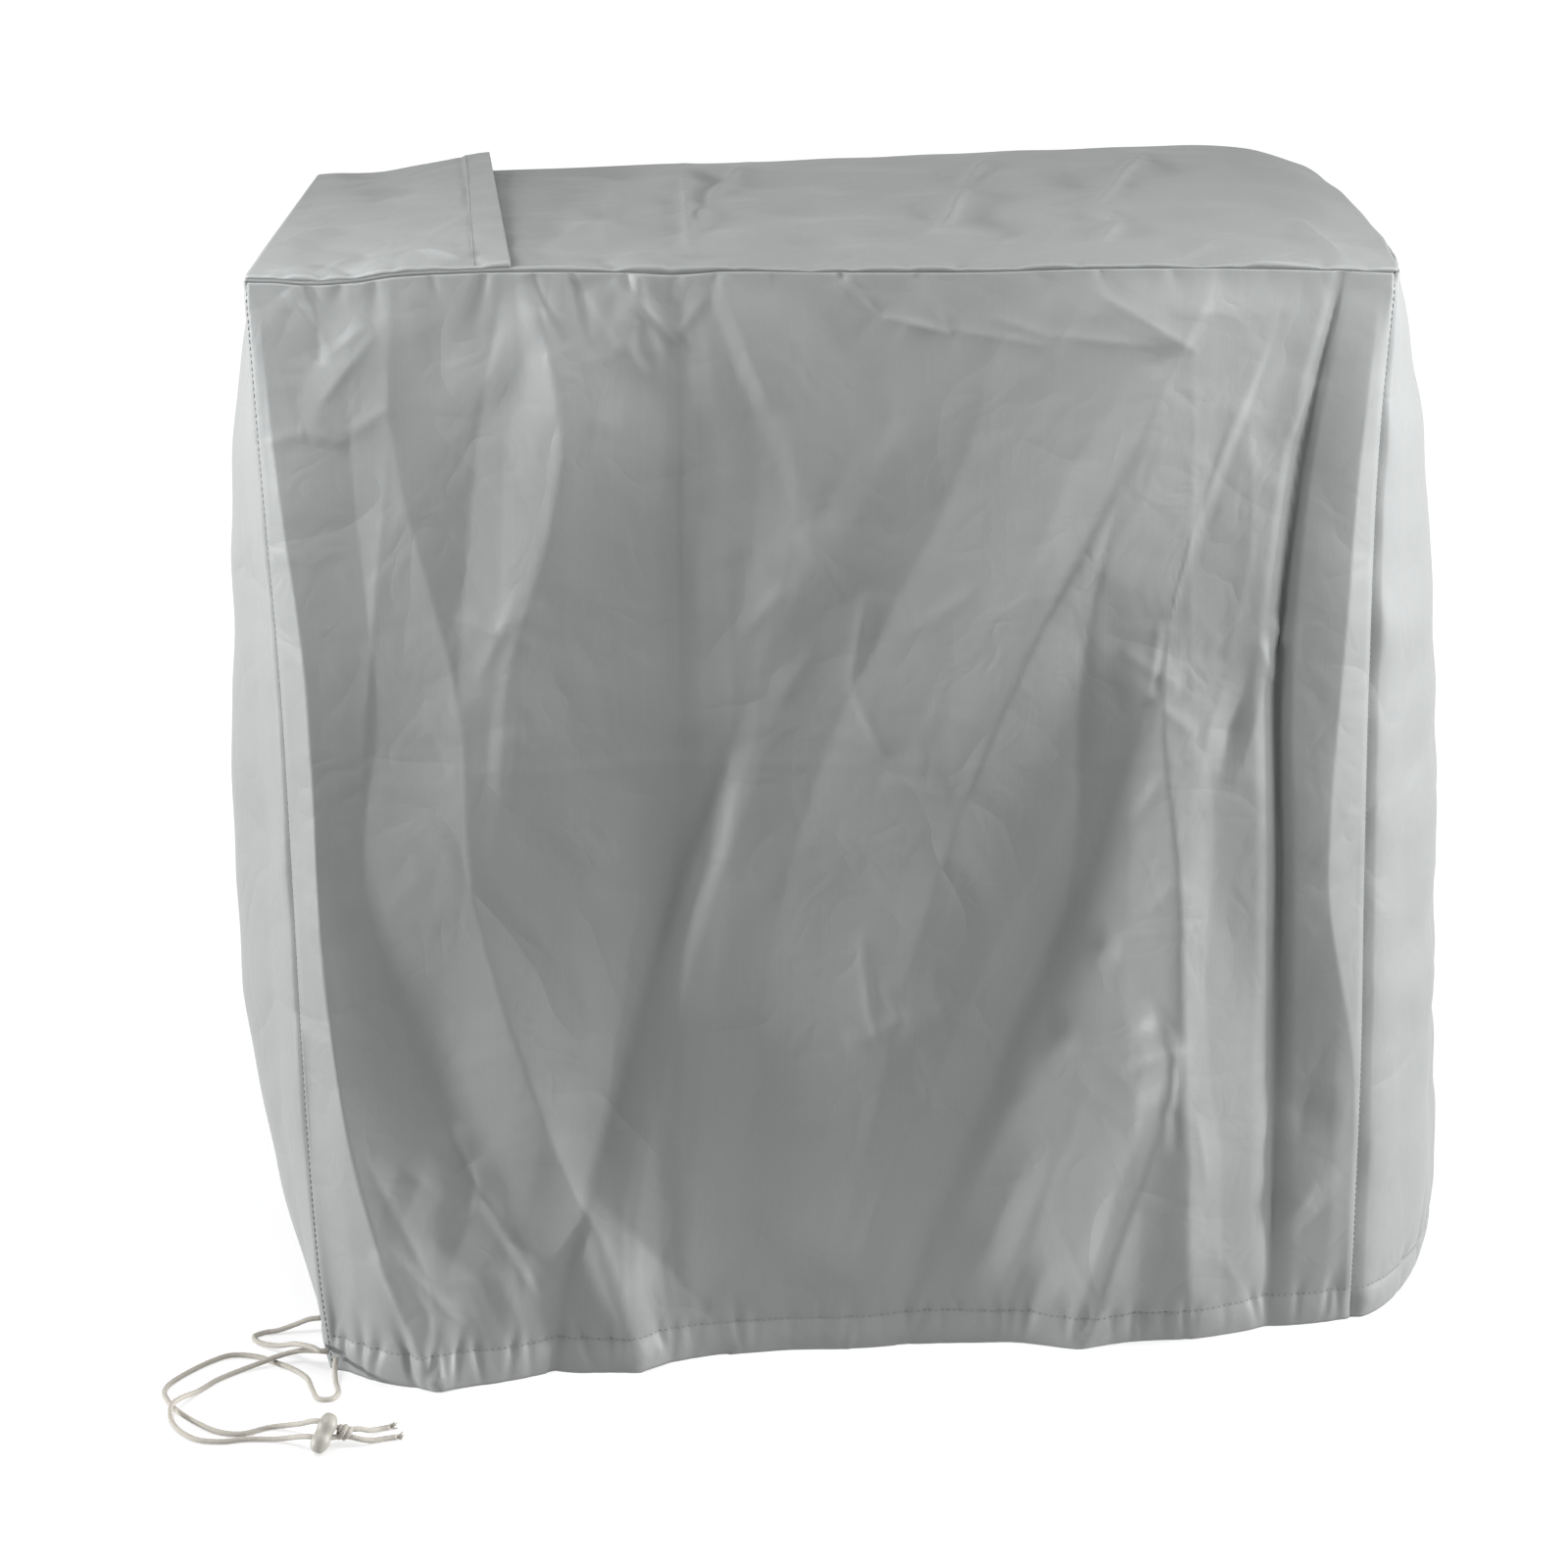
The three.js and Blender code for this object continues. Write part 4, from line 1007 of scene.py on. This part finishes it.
def front_relief(points):
    """All the small relief of the front, from its tables."""
    x, z = points[..., 0], points[..., 2]
    level = -z
    relief = CREASE_DEPTH * crease_relief(x, z, FRONT_CREASES) + facet_relief(x, z, FRONT_FACETS)
    # the drawn casing holds the cloth, so towards it the relief drops to half
    relief *= 1 - 0.5 * smooth((level - 560) / 45)
    relief += crease_relief(x, z, scattered_creases(seed=11, count=70, width=580, height=620))
    relief += soft_relief(x, z, seed=4, size=90, rise=0.8) * smooth(level / 40)
    relief += pucker_relief(x, -level, *FRONT_SEAM_PUCKERS.T, row=0, width=3.2)
    relief += pucker_relief(x, level, *HEM_PUCKERS.T, row=STITCH_LEVEL + 1, width=2.4)
    return relief + casing_relief(level)


def hang_panel(name, base, relief, face, start, end):
    """A side panel sewn at both corners and at the top, with its hem turned up inside."""
    points = turn_hem(sew_panel(base, relief, face, start, end, DOWN), face, start, end)
    return points, make_grid(name, points, cloth_uv(points))


front_points, front_cloth = hang_panel(
    "front_cloth", front_base, front_relief(front_base), BACK, RIGHT, LEFT
)
print("front cloth:", len(front_cloth.data.polygons), "faces")


# %% Ends and back
def side_relief(points, distance, length, seed, pitches):
    """Scattered creases, soft unevenness, seam puckers and hem gathers of an end or the back."""
    z = points[..., 2]
    place, level = distance - length / 2, -z
    creases = scattered_creases(seed, int(length / 7), length * 0.96, HEIGHT, rise=0.6)
    relief = crease_relief(place, z, creases)
    relief += soft_relief(place, z, seed + 1, size=80, rise=0.9) * smooth(level / 40)
    relief += seam_puckers(distance, level, length, pitch=30, seed=seed + 2)
    return relief + hem_gathers(distance, level, length, pitches, seed + 3)


# reversed columns, because the left end is seen from outside with its back on the left
left_base = end_face("left", 1 - deep_along, deep_down)
right_base = end_face("right", deep_along, deep_down)
back_base = back_face(1 - wide_along, wide_down)
left_relief = side_relief(left_base, deep_along * DEPTH, DEPTH, seed=31, pitches=(16, 15))
right_relief = side_relief(right_base, deep_along * DEPTH, DEPTH, seed=41, pitches=(24, 20))
back_relief = side_relief(back_base, wide_along * WIDTH, WIDTH, seed=51, pitches=(20, 20))
left_points, left_cloth = hang_panel("left_cloth", left_base, left_relief, RIGHT, FRONT, BACK)
right_points, right_cloth = hang_panel("right_cloth", right_base, right_relief, LEFT, BACK, FRONT)
back_points, back_cloth = hang_panel("back_cloth", back_base, back_relief, FRONT, LEFT, RIGHT)
print("ends and back:", [len(o.data.polygons) for o in (left_cloth, right_cloth, back_cloth)])

# %% [markdown]
# ## Top and flap
# The top lies on the reel, nearly flat, with a slight crown, a shallow hollow and the
# creases of the folded pack. The flap is a separate short sheet over its left end. It is
# sewn in at the left, front and back, and its free edge is hemmed and lifts at the back. A
# raised patch of the top would look the same from the front, but the flap's open edge shows,
# so it takes the top's own formula and adds a gap that grows towards that edge.

# %% Top and flap
# x and y of both ends, rise, width of the flank on either side
TOP_CREASES = [
    (-119, 110, -114, -130, 2.2, 4, 6), (-76, 197, -69, -140, 3, 2.5, 4), (-36, 180, -62, 8, 3.5, 4, 6),
    (-62, 10, -66, -60, 2.7, 4, 4), (64, -100, 88, 40, 4.3, 5, 3), (84, 36, 110, 160, 3.2, 5, 4),
    (60, -90, 96, -104, 2.4, 4, 4), (150, -128, 164, -70, 3.8, 4, 4), (164, -72, 152, -40, 3.2, 4, 4),
    (152, -42, 206, 165, 3.5, 5, 3), (-146, -130, -124, -40, 2.4, 6, 6), (82, -160, 108, -116, 2.4, 6, 5),
    (184, -165, 226, -100, 2.2, 6, 6), (272, -172, 262, -60, 3.2, 6, 8), (-40, -168, 20, -150, -2.2, 8, 8),
    (-110, -165, -84, -140, 2.7, 6, 6), (-10, -60, 60, -40, 1.6, 8, 8), (-200, 20, 260, 26, 0.9, 3, 3),
]
FLAP_CREASES = [
    (-296, 26, -186, 60, 2.1, 3, 3), (-298, -98, -268, -30, 2.4, 8, 8),
    (-213, -112, -190, -30, 2.1, 7, 7), (-244, -168, -214, -140, 3.5, 6, 4),
    (-216, -142, -188, -156, 4, 4, 6), (-240, -130, -196, -118, 2.4, 6, 8),
    (-262, -168, -246, -138, 2.4, 5, 5), (-286, -166, -262, -150, 2.1, 6, 6),
]
FLAP = {"front": -161.0, "back": -194.0, "gap": 1.5, "lift": 9.0, "hem": 17.0}


def top_face(along, back):
    """Straight between its front and back seams, plus a crown, minus a hollow, and swelling
    at the right end to meet the right panel."""
    x = mix(-HALF_WIDTH, mix(FRONT_RIGHT, HALF_WIDTH, back), along)
    y = mix(-HALF_DEPTH, HALF_DEPTH, back)
    round_end = np.maximum(np.sin(np.pi * back), 0) ** ROUNDNESS["right"]
    rim = mix(column(*TOP_SEAMS["front"], x), column(*TOP_SEAMS["back"], x), back)
    inside = np.maximum(np.sin(np.pi * along) * np.sin(np.pi * back), 0)
    hollow = np.exp(-(((x + 60) / 130) ** 2) - (y / 110) ** 2)
    z = rim + 3 * np.sqrt(inside) - 3 * hollow * inside
    swell = BULGES["right"][0] * round_end * smooth((along - 0.75) / 0.25)
    return np.stack([x + swell, y, z], axis=-1)


def flap_face(along, back):
    """The top's own face, a little above it, lifting at the back of the free edge."""
    front_share = (FLAP["front"] + HALF_WIDTH) / (FRONT_RIGHT + HALF_WIDTH)
    back_share = (FLAP["back"] + HALF_WIDTH) / WIDTH
    points = top_face(along * mix(front_share, back_share, back), back)
    points[..., 2] += FLAP["gap"] + FLAP["lift"] * smooth((along - 0.35) / 0.65) * back**1.6
    return points


top_along, top_back = np.meshgrid(along_wide, 1 - along_deep)
top_base = top_face(top_along, top_back)
x, y = top_base[..., 0], top_base[..., 1]
top_relief = crease_relief(x, y, TOP_CREASES) + soft_relief(x, y, seed=61, size=70, rise=1.1)
from_left, from_front = x + HALF_WIDTH, y + HALF_DEPTH
top_relief += seam_puckers(from_left, from_front, WIDTH, pitch=30, seed=63, strength=1.3)
# the cloth lies flatter under the flap, and near the back seam
top_relief *= (smooth(from_left / 60 - 2.2) * 0.9 + 0.1) * (0.3 + 0.7 * smooth((160 - y) / 60))
top_points = sew_panel(top_base, top_relief, DOWN, RIGHT, LEFT, FRONT, BACK, lip=1.3)
top_cloth = make_grid("top_cloth", top_points, cloth_uv(top_points))
print("top cloth:", len(top_cloth.data.polygons), "faces")

# %% Flap
flap_along, flap_back = np.meshgrid(crowd(70), 1 - crowd(150))
flap_base = flap_face(flap_along, flap_back)
x, y = flap_base[..., 0], flap_base[..., 1]
from_edge = steps_along(flap_base, 1)[:, -1:] - steps_along(flap_base, 1)
flap_relief = crease_relief(x, y, FLAP_CREASES) + soft_relief(x, y, seed=71, size=60, rise=0.7)
# the hem at the free edge is a double layer that ends in a stitched groove
flap_relief += 0.5 * smooth((FLAP["hem"] + 1.2 - from_edge) / 1.6)
flap_relief -= 0.5 * np.exp(-(((from_edge - FLAP["hem"]) / 1.3) ** 2))
flap_relief += seam_puckers(x + HALF_WIDTH, y + HALF_DEPTH, 140, pitch=17, seed=72, strength=1.8) + 0.5
# nothing sinks into the top below, and the left seam holds the flap flat
flap_relief = np.maximum(flap_relief, -0.7) * smooth((x + 304) / 24)
flap_points = sew_panel(flap_base, flap_relief, DOWN, RIGHT, None, FRONT, BACK, lip=1.5)
flap_cloth = make_grid("flap_cloth", flap_points, cloth_uv(flap_points))
# the flap's free edge shows, so its sheet gets a thickness
thickness = flap_cloth.modifiers.new("cloth thickness", "SOLIDIFY")
thickness.thickness, thickness.offset = 0.5 * MM, -1.0
print("flap:", len(flap_cloth.data.polygons), "faces")

# %% [markdown]
# ## Stitches
# The rows of stitches show as short dashes: along the hem, in the corner seams and along
# the flap's hem. A dashed texture would be flat in a close view. Every stitch is a small
# closed body with a few faces, laid on the cloth along the row, and one mesh holds a whole
# family of them.

# %% Stitch rows
def row_on(points, height):
    """The line on a hanging panel at a height above the floor, column by column."""
    z = points[:ROWS, :, 2] + HEIGHT
    row = int(np.argmin(np.abs(z.mean(axis=1) - height)))
    return points[row], normals_of(points[:ROWS])[row]


def lay_stitches(line, lift, pitch=3.6, length=2.6, radius=0.34):
    """Rings of five points along each stitch: thin at both ends, full between, one after
    the other along the line. Returns an array of stitches x rings x sides x 3."""
    distance = np.concatenate([[0], np.cumsum(np.linalg.norm(np.diff(line, axis=0), axis=1))])
    centre_at = np.arange(pitch, distance[-1] - pitch, pitch)
    share = np.array([-0.5, -0.3, 0.3, 0.5])
    at = centre_at[:, None] + share * length
    middle = np.stack([np.interp(at, distance, line[:, i]) for i in range(3)], axis=-1)
    normal = unit(np.stack([np.interp(at, distance, lift[:, i]) for i in range(3)], axis=-1))
    along = unit(np.gradient(middle, axis=1))
    side = unit(np.cross(along, normal))
    thick = radius * np.array([0.25, 1.0, 1.0, 0.25])[None, :, None, None]
    angle = np.linspace(0, 2 * np.pi, 5, endpoint=False)[None, None, :, None]
    ring = side[:, :, None] * np.cos(angle) + normal[:, :, None] * np.sin(angle)
    sink = normal * (np.array([-0.2, 0.12, 0.12, -0.2])[None, :, None])
    return (middle + sink)[:, :, None] + ring * thick


def make_stitches(name, rows):
    """One mesh of all the stitches of the rows, each closed at both ends."""
    stitches = np.concatenate([lay_stitches(line, lift) for line, lift in rows])
    count, rings, sides = stitches.shape[:3]
    index = np.arange(count * rings * sides).reshape(count, rings, sides)
    following = np.roll(index, -1, axis=2)
    corners = [index[:, :-1], index[:, 1:], following[:, 1:], following[:, :-1]]
    quads = np.stack(corners, axis=-1)[..., ::-1].reshape(-1, 4).tolist()
    ends = index[:, 0].tolist() + index[:, -1, ::-1].tolist()
    print(name, count, "stitches")
    return add_mesh(name, stitches, quads + ends)


def border_line(points, place, direction):
    """A panel's first or last column as a line, with the way out of the seam at each point."""
    line = points[:ROWS, place]
    return line, np.broadcast_to(-unit(np.array(direction, float)), line.shape)


hem_rows = [row_on(panel, HEM_HEIGHT) for panel in (front_points, left_points, right_points, back_points)]
hem_stitches = make_stitches("hem_stitches", hem_rows)
seam_rows = [
    border_line(front_points, 0, (1, 1, 0)), border_line(front_points, -1, (-1, 1, 0)),
    border_line(back_points, 0, (-1, -1, 0)), border_line(back_points, -1, (1, -1, 0)),
]
seam_stitches = make_stitches("corner_stitches", seam_rows)
hem_column = int(np.argmin(np.abs(from_edge[len(from_edge) // 2] - FLAP["hem"])))
flap_row = (flap_points[:, hem_column], normals_of(flap_points)[:, hem_column])
flap_stitches = make_stitches("flap_stitches", [flap_row])

# %% [markdown]
# ## Materials
# The cloth is a woven polyester with a thin coating: cool pale grey, a soft sheen, a very
# fine weave and faint streaks of thicker yarn. The cord is a matte cream braid, the lock is
# smooth cream plastic, and the thread is a shade darker than the cloth. Pictures of cloth
# could be laid on, but waves and noise have no seams and keep their true size everywhere.

# %% Cloth
def make_cloth_finish(name, colour, streak=0.05):
    """Weave: the product of two sine waves, across and along the cloth, from its UV map. A
    wave of 7000 radians to a metre repeats every 0.9 mm.
    The colour varies by yarn streaks and soft blotches; the roughness by the blotches.
    Faint crinkles run where a smooth noise crosses its middle value."""
    finish = Finish(name)
    uv, u, v = finish.uv_places()
    place = finish.object_place()
    blotch = finish.noise(place, 9.0, detail=4.0)
    grain = finish.noise(place, 900.0)
    stretched = finish.node("ShaderNodeMapping", {}, {"Vector": uv, "Scale": (700.0, 6.0, 1.0)}, "Vector")
    yarn = finish.noise(stretched, 1.0)
    weave = (u * 7000.0).sine() * (v * 7000.0).sine()
    shade = 0.5 + (blotch - 0.5) * 0.55 + (yarn - 0.5) * streak * 8 + (grain - 0.5) * 0.3
    dark = tuple(c * 0.93 for c in colour) + (1.0,)
    light = tuple(c * 1.07 for c in colour) + (1.0,)
    base = finish.blend_colours(shade, dark, light)
    wide = finish.noise(place, 11.0, detail=1.5, distortion=0.8)
    small = finish.noise(place, 31.0, distortion=0.6)
    crinkled = finish.bump((wide - 0.5).size() + (small - 0.5).size() * 0.3, strength=1.0, distance=0.004)
    height = weave * 0.4 + (grain - 0.5) * 1.2 + (yarn - 0.5) * 0.8
    woven = finish.bump(height, strength=0.22, distance=0.0002, under=crinkled)
    return finish.surface(
        base_color=base, roughness=0.5 + (blotch - 0.5) * 0.16, normal=woven,
        specular_ior_level=0.42, sheen_weight=0.06, sheen_roughness=0.5,
    )


CLOTH_COLOUR = (0.214, 0.2215, 0.2205)
cloth_finish = make_cloth_finish("coated cloth", CLOTH_COLOUR)
# painted light: the flap takes the same cloth painted 4% lighter, with fainter streaks
flap_finish_painted_lighter = make_cloth_finish("coated cloth of the flap", tuple(c * 1.04 for c in CLOTH_COLOUR), 0.03)
print("cloth materials ready")


# %% Thread, cord and lock
def make_thread_finish():
    """Twisted thread: a fine noise between two greys, a shade darker than the cloth."""
    finish = Finish("sewing thread")
    twist = finish.noise(finish.object_place(), 1500.0, detail=1.0)
    base = finish.blend_colours(twist, (0.15, 0.156, 0.156, 1), (0.23, 0.24, 0.24, 1))
    return finish.surface(base_color=base, roughness=0.7)


def make_braid_finish():
    """Braid: two sets of waves that run round the cord in opposite directions, from the
    UV map; where they meet a strand stands proud. Painted shade makes the colour darker
    between the strands and lighter on the proud ones."""
    finish = Finish("cotton braid")
    _, u, v = finish.uv_places()
    strands_round, waves_along = 8 * 2 * np.pi, 2600.0
    one_way = (u * strands_round + v * waves_along).sine()
    other_way = (u * strands_round - v * waves_along).sine()
    strands = one_way * other_way
    place = finish.object_place()
    fluff = finish.noise(place, 1400.0, detail=3.0)
    worn = finish.noise(place, 60.0)
    # painted shade: strands * 0.28 paints the braid lighter on its proud strands and darker between them;
    # fluff and wear are the cord's own tone
    share = 0.5 + strands * 0.28 + (fluff - 0.5) * 0.5 + (worn - 0.5) * 0.5
    base = finish.blend_colours(share, (0.31, 0.287, 0.252, 1), (0.47, 0.446, 0.403, 1))
    height = strands * 0.6 + (fluff - 0.5) * 0.8
    braided = finish.bump(height, strength=0.6, distance=0.0003)
    return finish.surface(base_color=base, roughness=0.86, normal=braided)


def make_lock_finish():
    """Moulded plastic: even cream with a faint grain, and scuffs that are a little rougher."""
    finish = Finish("cream plastic")
    place = finish.object_place()
    cloud, fine = finish.noise(place, 160.0, detail=4.0), finish.noise(place, 1800.0)
    base = finish.blend_colours(cloud, (0.27, 0.263, 0.233, 1), (0.33, 0.322, 0.287, 1))
    moulded = finish.bump(fine, strength=0.15, distance=0.0002)
    return finish.surface(base_color=base, roughness=0.38 + cloud * 0.2, normal=moulded)


thread_finish, braid_finish, lock_finish = make_thread_finish(), make_braid_finish(), make_lock_finish()
print("thread, braid and plastic ready")

# %% [markdown]
# ## Putting the cover together
# Every piece rides on the cover's one body, gets its material and stands for its CAD
# solids, which are hidden.

# %% Ride and replace
PIECES = [
    (front_cloth, cloth_finish, "cover_cloth", ["front_panel"]),
    (back_cloth, cloth_finish, "cover_cloth", ["back_panel"]),
    (left_cloth, cloth_finish, "cover_cloth", ["left_panel"]),
    (right_cloth, cloth_finish, "cover_cloth", ["right_panel"]),
    (top_cloth, cloth_finish, "cover_cloth", ["top_panel"]),
    (flap_cloth, flap_finish_painted_lighter, "cover_cloth", ["top_flap"]),
    (hem_stitches, thread_finish, "cover_cloth", []),
    (seam_stitches, thread_finish, "cover_cloth", []),
    (flap_stitches, thread_finish, "cover_cloth", []),
    (long_strand, braid_finish, "cord", ["draw_cord_front", "tail_front"]),
    (short_strand, braid_finish, "cord", ["draw_cord_side", "tail_side"]),
    (side_loop, braid_finish, "cord", ["draw_cord_bight"]),
    (long_fray, braid_finish, "cord", []),
    (short_fray, braid_finish, "cord", []),
    (knot, braid_finish, "cord", ["cord_knot"]),
    (lock, lock_finish, "lock", ["cord_lock"]),
]
for piece, finish, slot_name, nodes in PIECES:
    piece.data.materials.clear()
    piece.data.materials.append(finish)
    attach(piece, "root")
    if nodes:
        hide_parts(*nodes)
print(len(PIECES), "pieces ride on the cover")

# %% Lines of the free cords
def declare_strand(line):
    """The line that a free cord follows, worked out in metres; nothing more is done with it."""
    path = (line * MM).tolist()


declare_strand(long_line)
declare_strand(short_line)
declare_strand(loop_line)

# %% [markdown]
# ## Studio
# The photograph was lit by large soft lights at the left and right, and the front lies in
# their shade. Three sun lamps with wide discs act as very large, distant soft boxes: the
# two at the sides graze the front, and one above lights the top. Four small soft boxes near
# the cover lift the front's corners. A floor that is only lit turns grey towards the back,
# so this one gives off light itself, as a light table does. It is dark in front of the
# frame, because light from there would fill the shade. The sky is bright only near the
# horizon, where it continues the pale floor.

# %% Floor, lights and world
def add_lamp(name, data, backward, place=(0, 0, 0)):
    """A lamp at a place in metres, turned so that it shines against the direction backward."""
    turned = Vector(backward).to_track_quat("Z", "Y")
    add_object(name, data).matrix_world = Matrix.LocRotScale(Vector(place), turned, None)


def add_light(name, strength, towards, spread):
    """A sun lamp with a wide disc. Towards is the direction from the object to the lamp."""
    data = bpy.data.lights.new(name, "SUN")
    data.energy, data.angle = strength, np.radians(spread)
    add_lamp(name, data, towards)


def add_soft_box(name, power, place, aim, size):
    """A rectangular light of this power and size at a place, turned to the aim; in metres."""
    data = bpy.data.lights.new(name, "AREA")
    data.energy, data.shape = power, "RECTANGLE"
    data.size, data.size_y = size
    add_lamp(name, data, Vector(place) - Vector(aim), place)


def make_floor():
    """A pale floor that reaches ten metres either way, 0.1 mm below the hem's height. It grows
    dark in front of the cover, as where a studio's black cloth lies, so that the front keeps
    its shade, and glows a little brighter behind it."""
    t = np.linspace(-10000, 10000, 3)
    x, y = np.meshgrid(t, t[::-1])
    points = np.stack([x, y, np.full_like(x, FLOOR - 0.1)], axis=-1)
    floor = make_grid("studio_floor", points, points[..., :2] * MM)
    finish = Finish("pale floor")
    place = finish.object_place()
    base = finish.blend_colours(finish.noise(place, 2.0), (0.33, 0.33, 0.33, 1), (0.35, 0.35, 0.35, 1))
    depth = finish.node("ShaderNodeSeparateXYZ", {}, {"Vector": place}, "Y")
    near = finish.step(depth, -0.95, -0.42)
    behind = finish.step(depth, 0.1, 0.9, low=0.84)
    glow = finish.blend_colours(near * behind, (0.08, 0.08, 0.08, 1), (1.0, 1.0, 1.0, 1))
    floor.data.materials.append(finish.surface(
        base_color=finish.blend_colours(near, (0.1, 0.1, 0.1, 1), base), roughness=0.9,
        specular_ior_level=0.1, emission_color=glow, emission_strength=0.76,
    ))


def make_sky(horizon, above):
    """World colour by the height of the ray: the horizon's near level, darker above."""
    world = bpy.data.worlds.new("studio sky")
    world.use_nodes = True
    tree = world.node_tree
    tree.nodes.clear()
    place = tree.nodes.new("ShaderNodeTexCoord")
    parts = tree.nodes.new("ShaderNodeSeparateXYZ")
    ramp = tree.nodes.new("ShaderNodeMapRange")
    for key, value in (("From Min", 0.02), ("From Max", 0.2), ("To Min", horizon), ("To Max", above)):
        ramp.inputs[key].default_value = value
    background = tree.nodes.new("ShaderNodeBackground")
    background.inputs["Color"].default_value = (0.98, 0.99, 1.0, 1)
    output = tree.nodes.new("ShaderNodeOutputWorld")
    tree.links.new(place.outputs["Generated"], parts.inputs["Vector"])
    tree.links.new(parts.outputs["Z"], ramp.inputs["Value"])
    tree.links.new(ramp.outputs["Result"], background.inputs["Strength"])
    tree.links.new(background.outputs["Background"], output.inputs["Surface"])
    bpy.context.scene.world = world


make_floor()
make_sky(horizon=0.6, above=0.05)
add_light("left soft light", 3.9, (-0.97, -0.1, 0.11), 7)
add_light("right soft light", 3.5, (1, -0.045, 0.11), 10)
add_light("top soft light", 1.7, (0, 0, 1), 60)
add_soft_box("front soft box", 0.5, (0, -0.75, 0.5), (0, -0.18, -0.1), (1.4, 0.3))
add_soft_box("left corner soft box", 4.6, (-0.56, -0.4, 0.27), (-0.25, -0.15, 0), (0.3, 0.3))
add_soft_box("right corner soft box", 4.8, (0.6, -0.41, 0.25), (0.25, -0.15, 0), (0.3, 0.3))
add_soft_box("low right soft box", 2.0, (0.88, -0.5, -0.25), (0.22, -0.15, -0.4), (0.3, 0.5))
bpy.context.scene.view_settings.view_transform = "Standard"
print("studio ready")
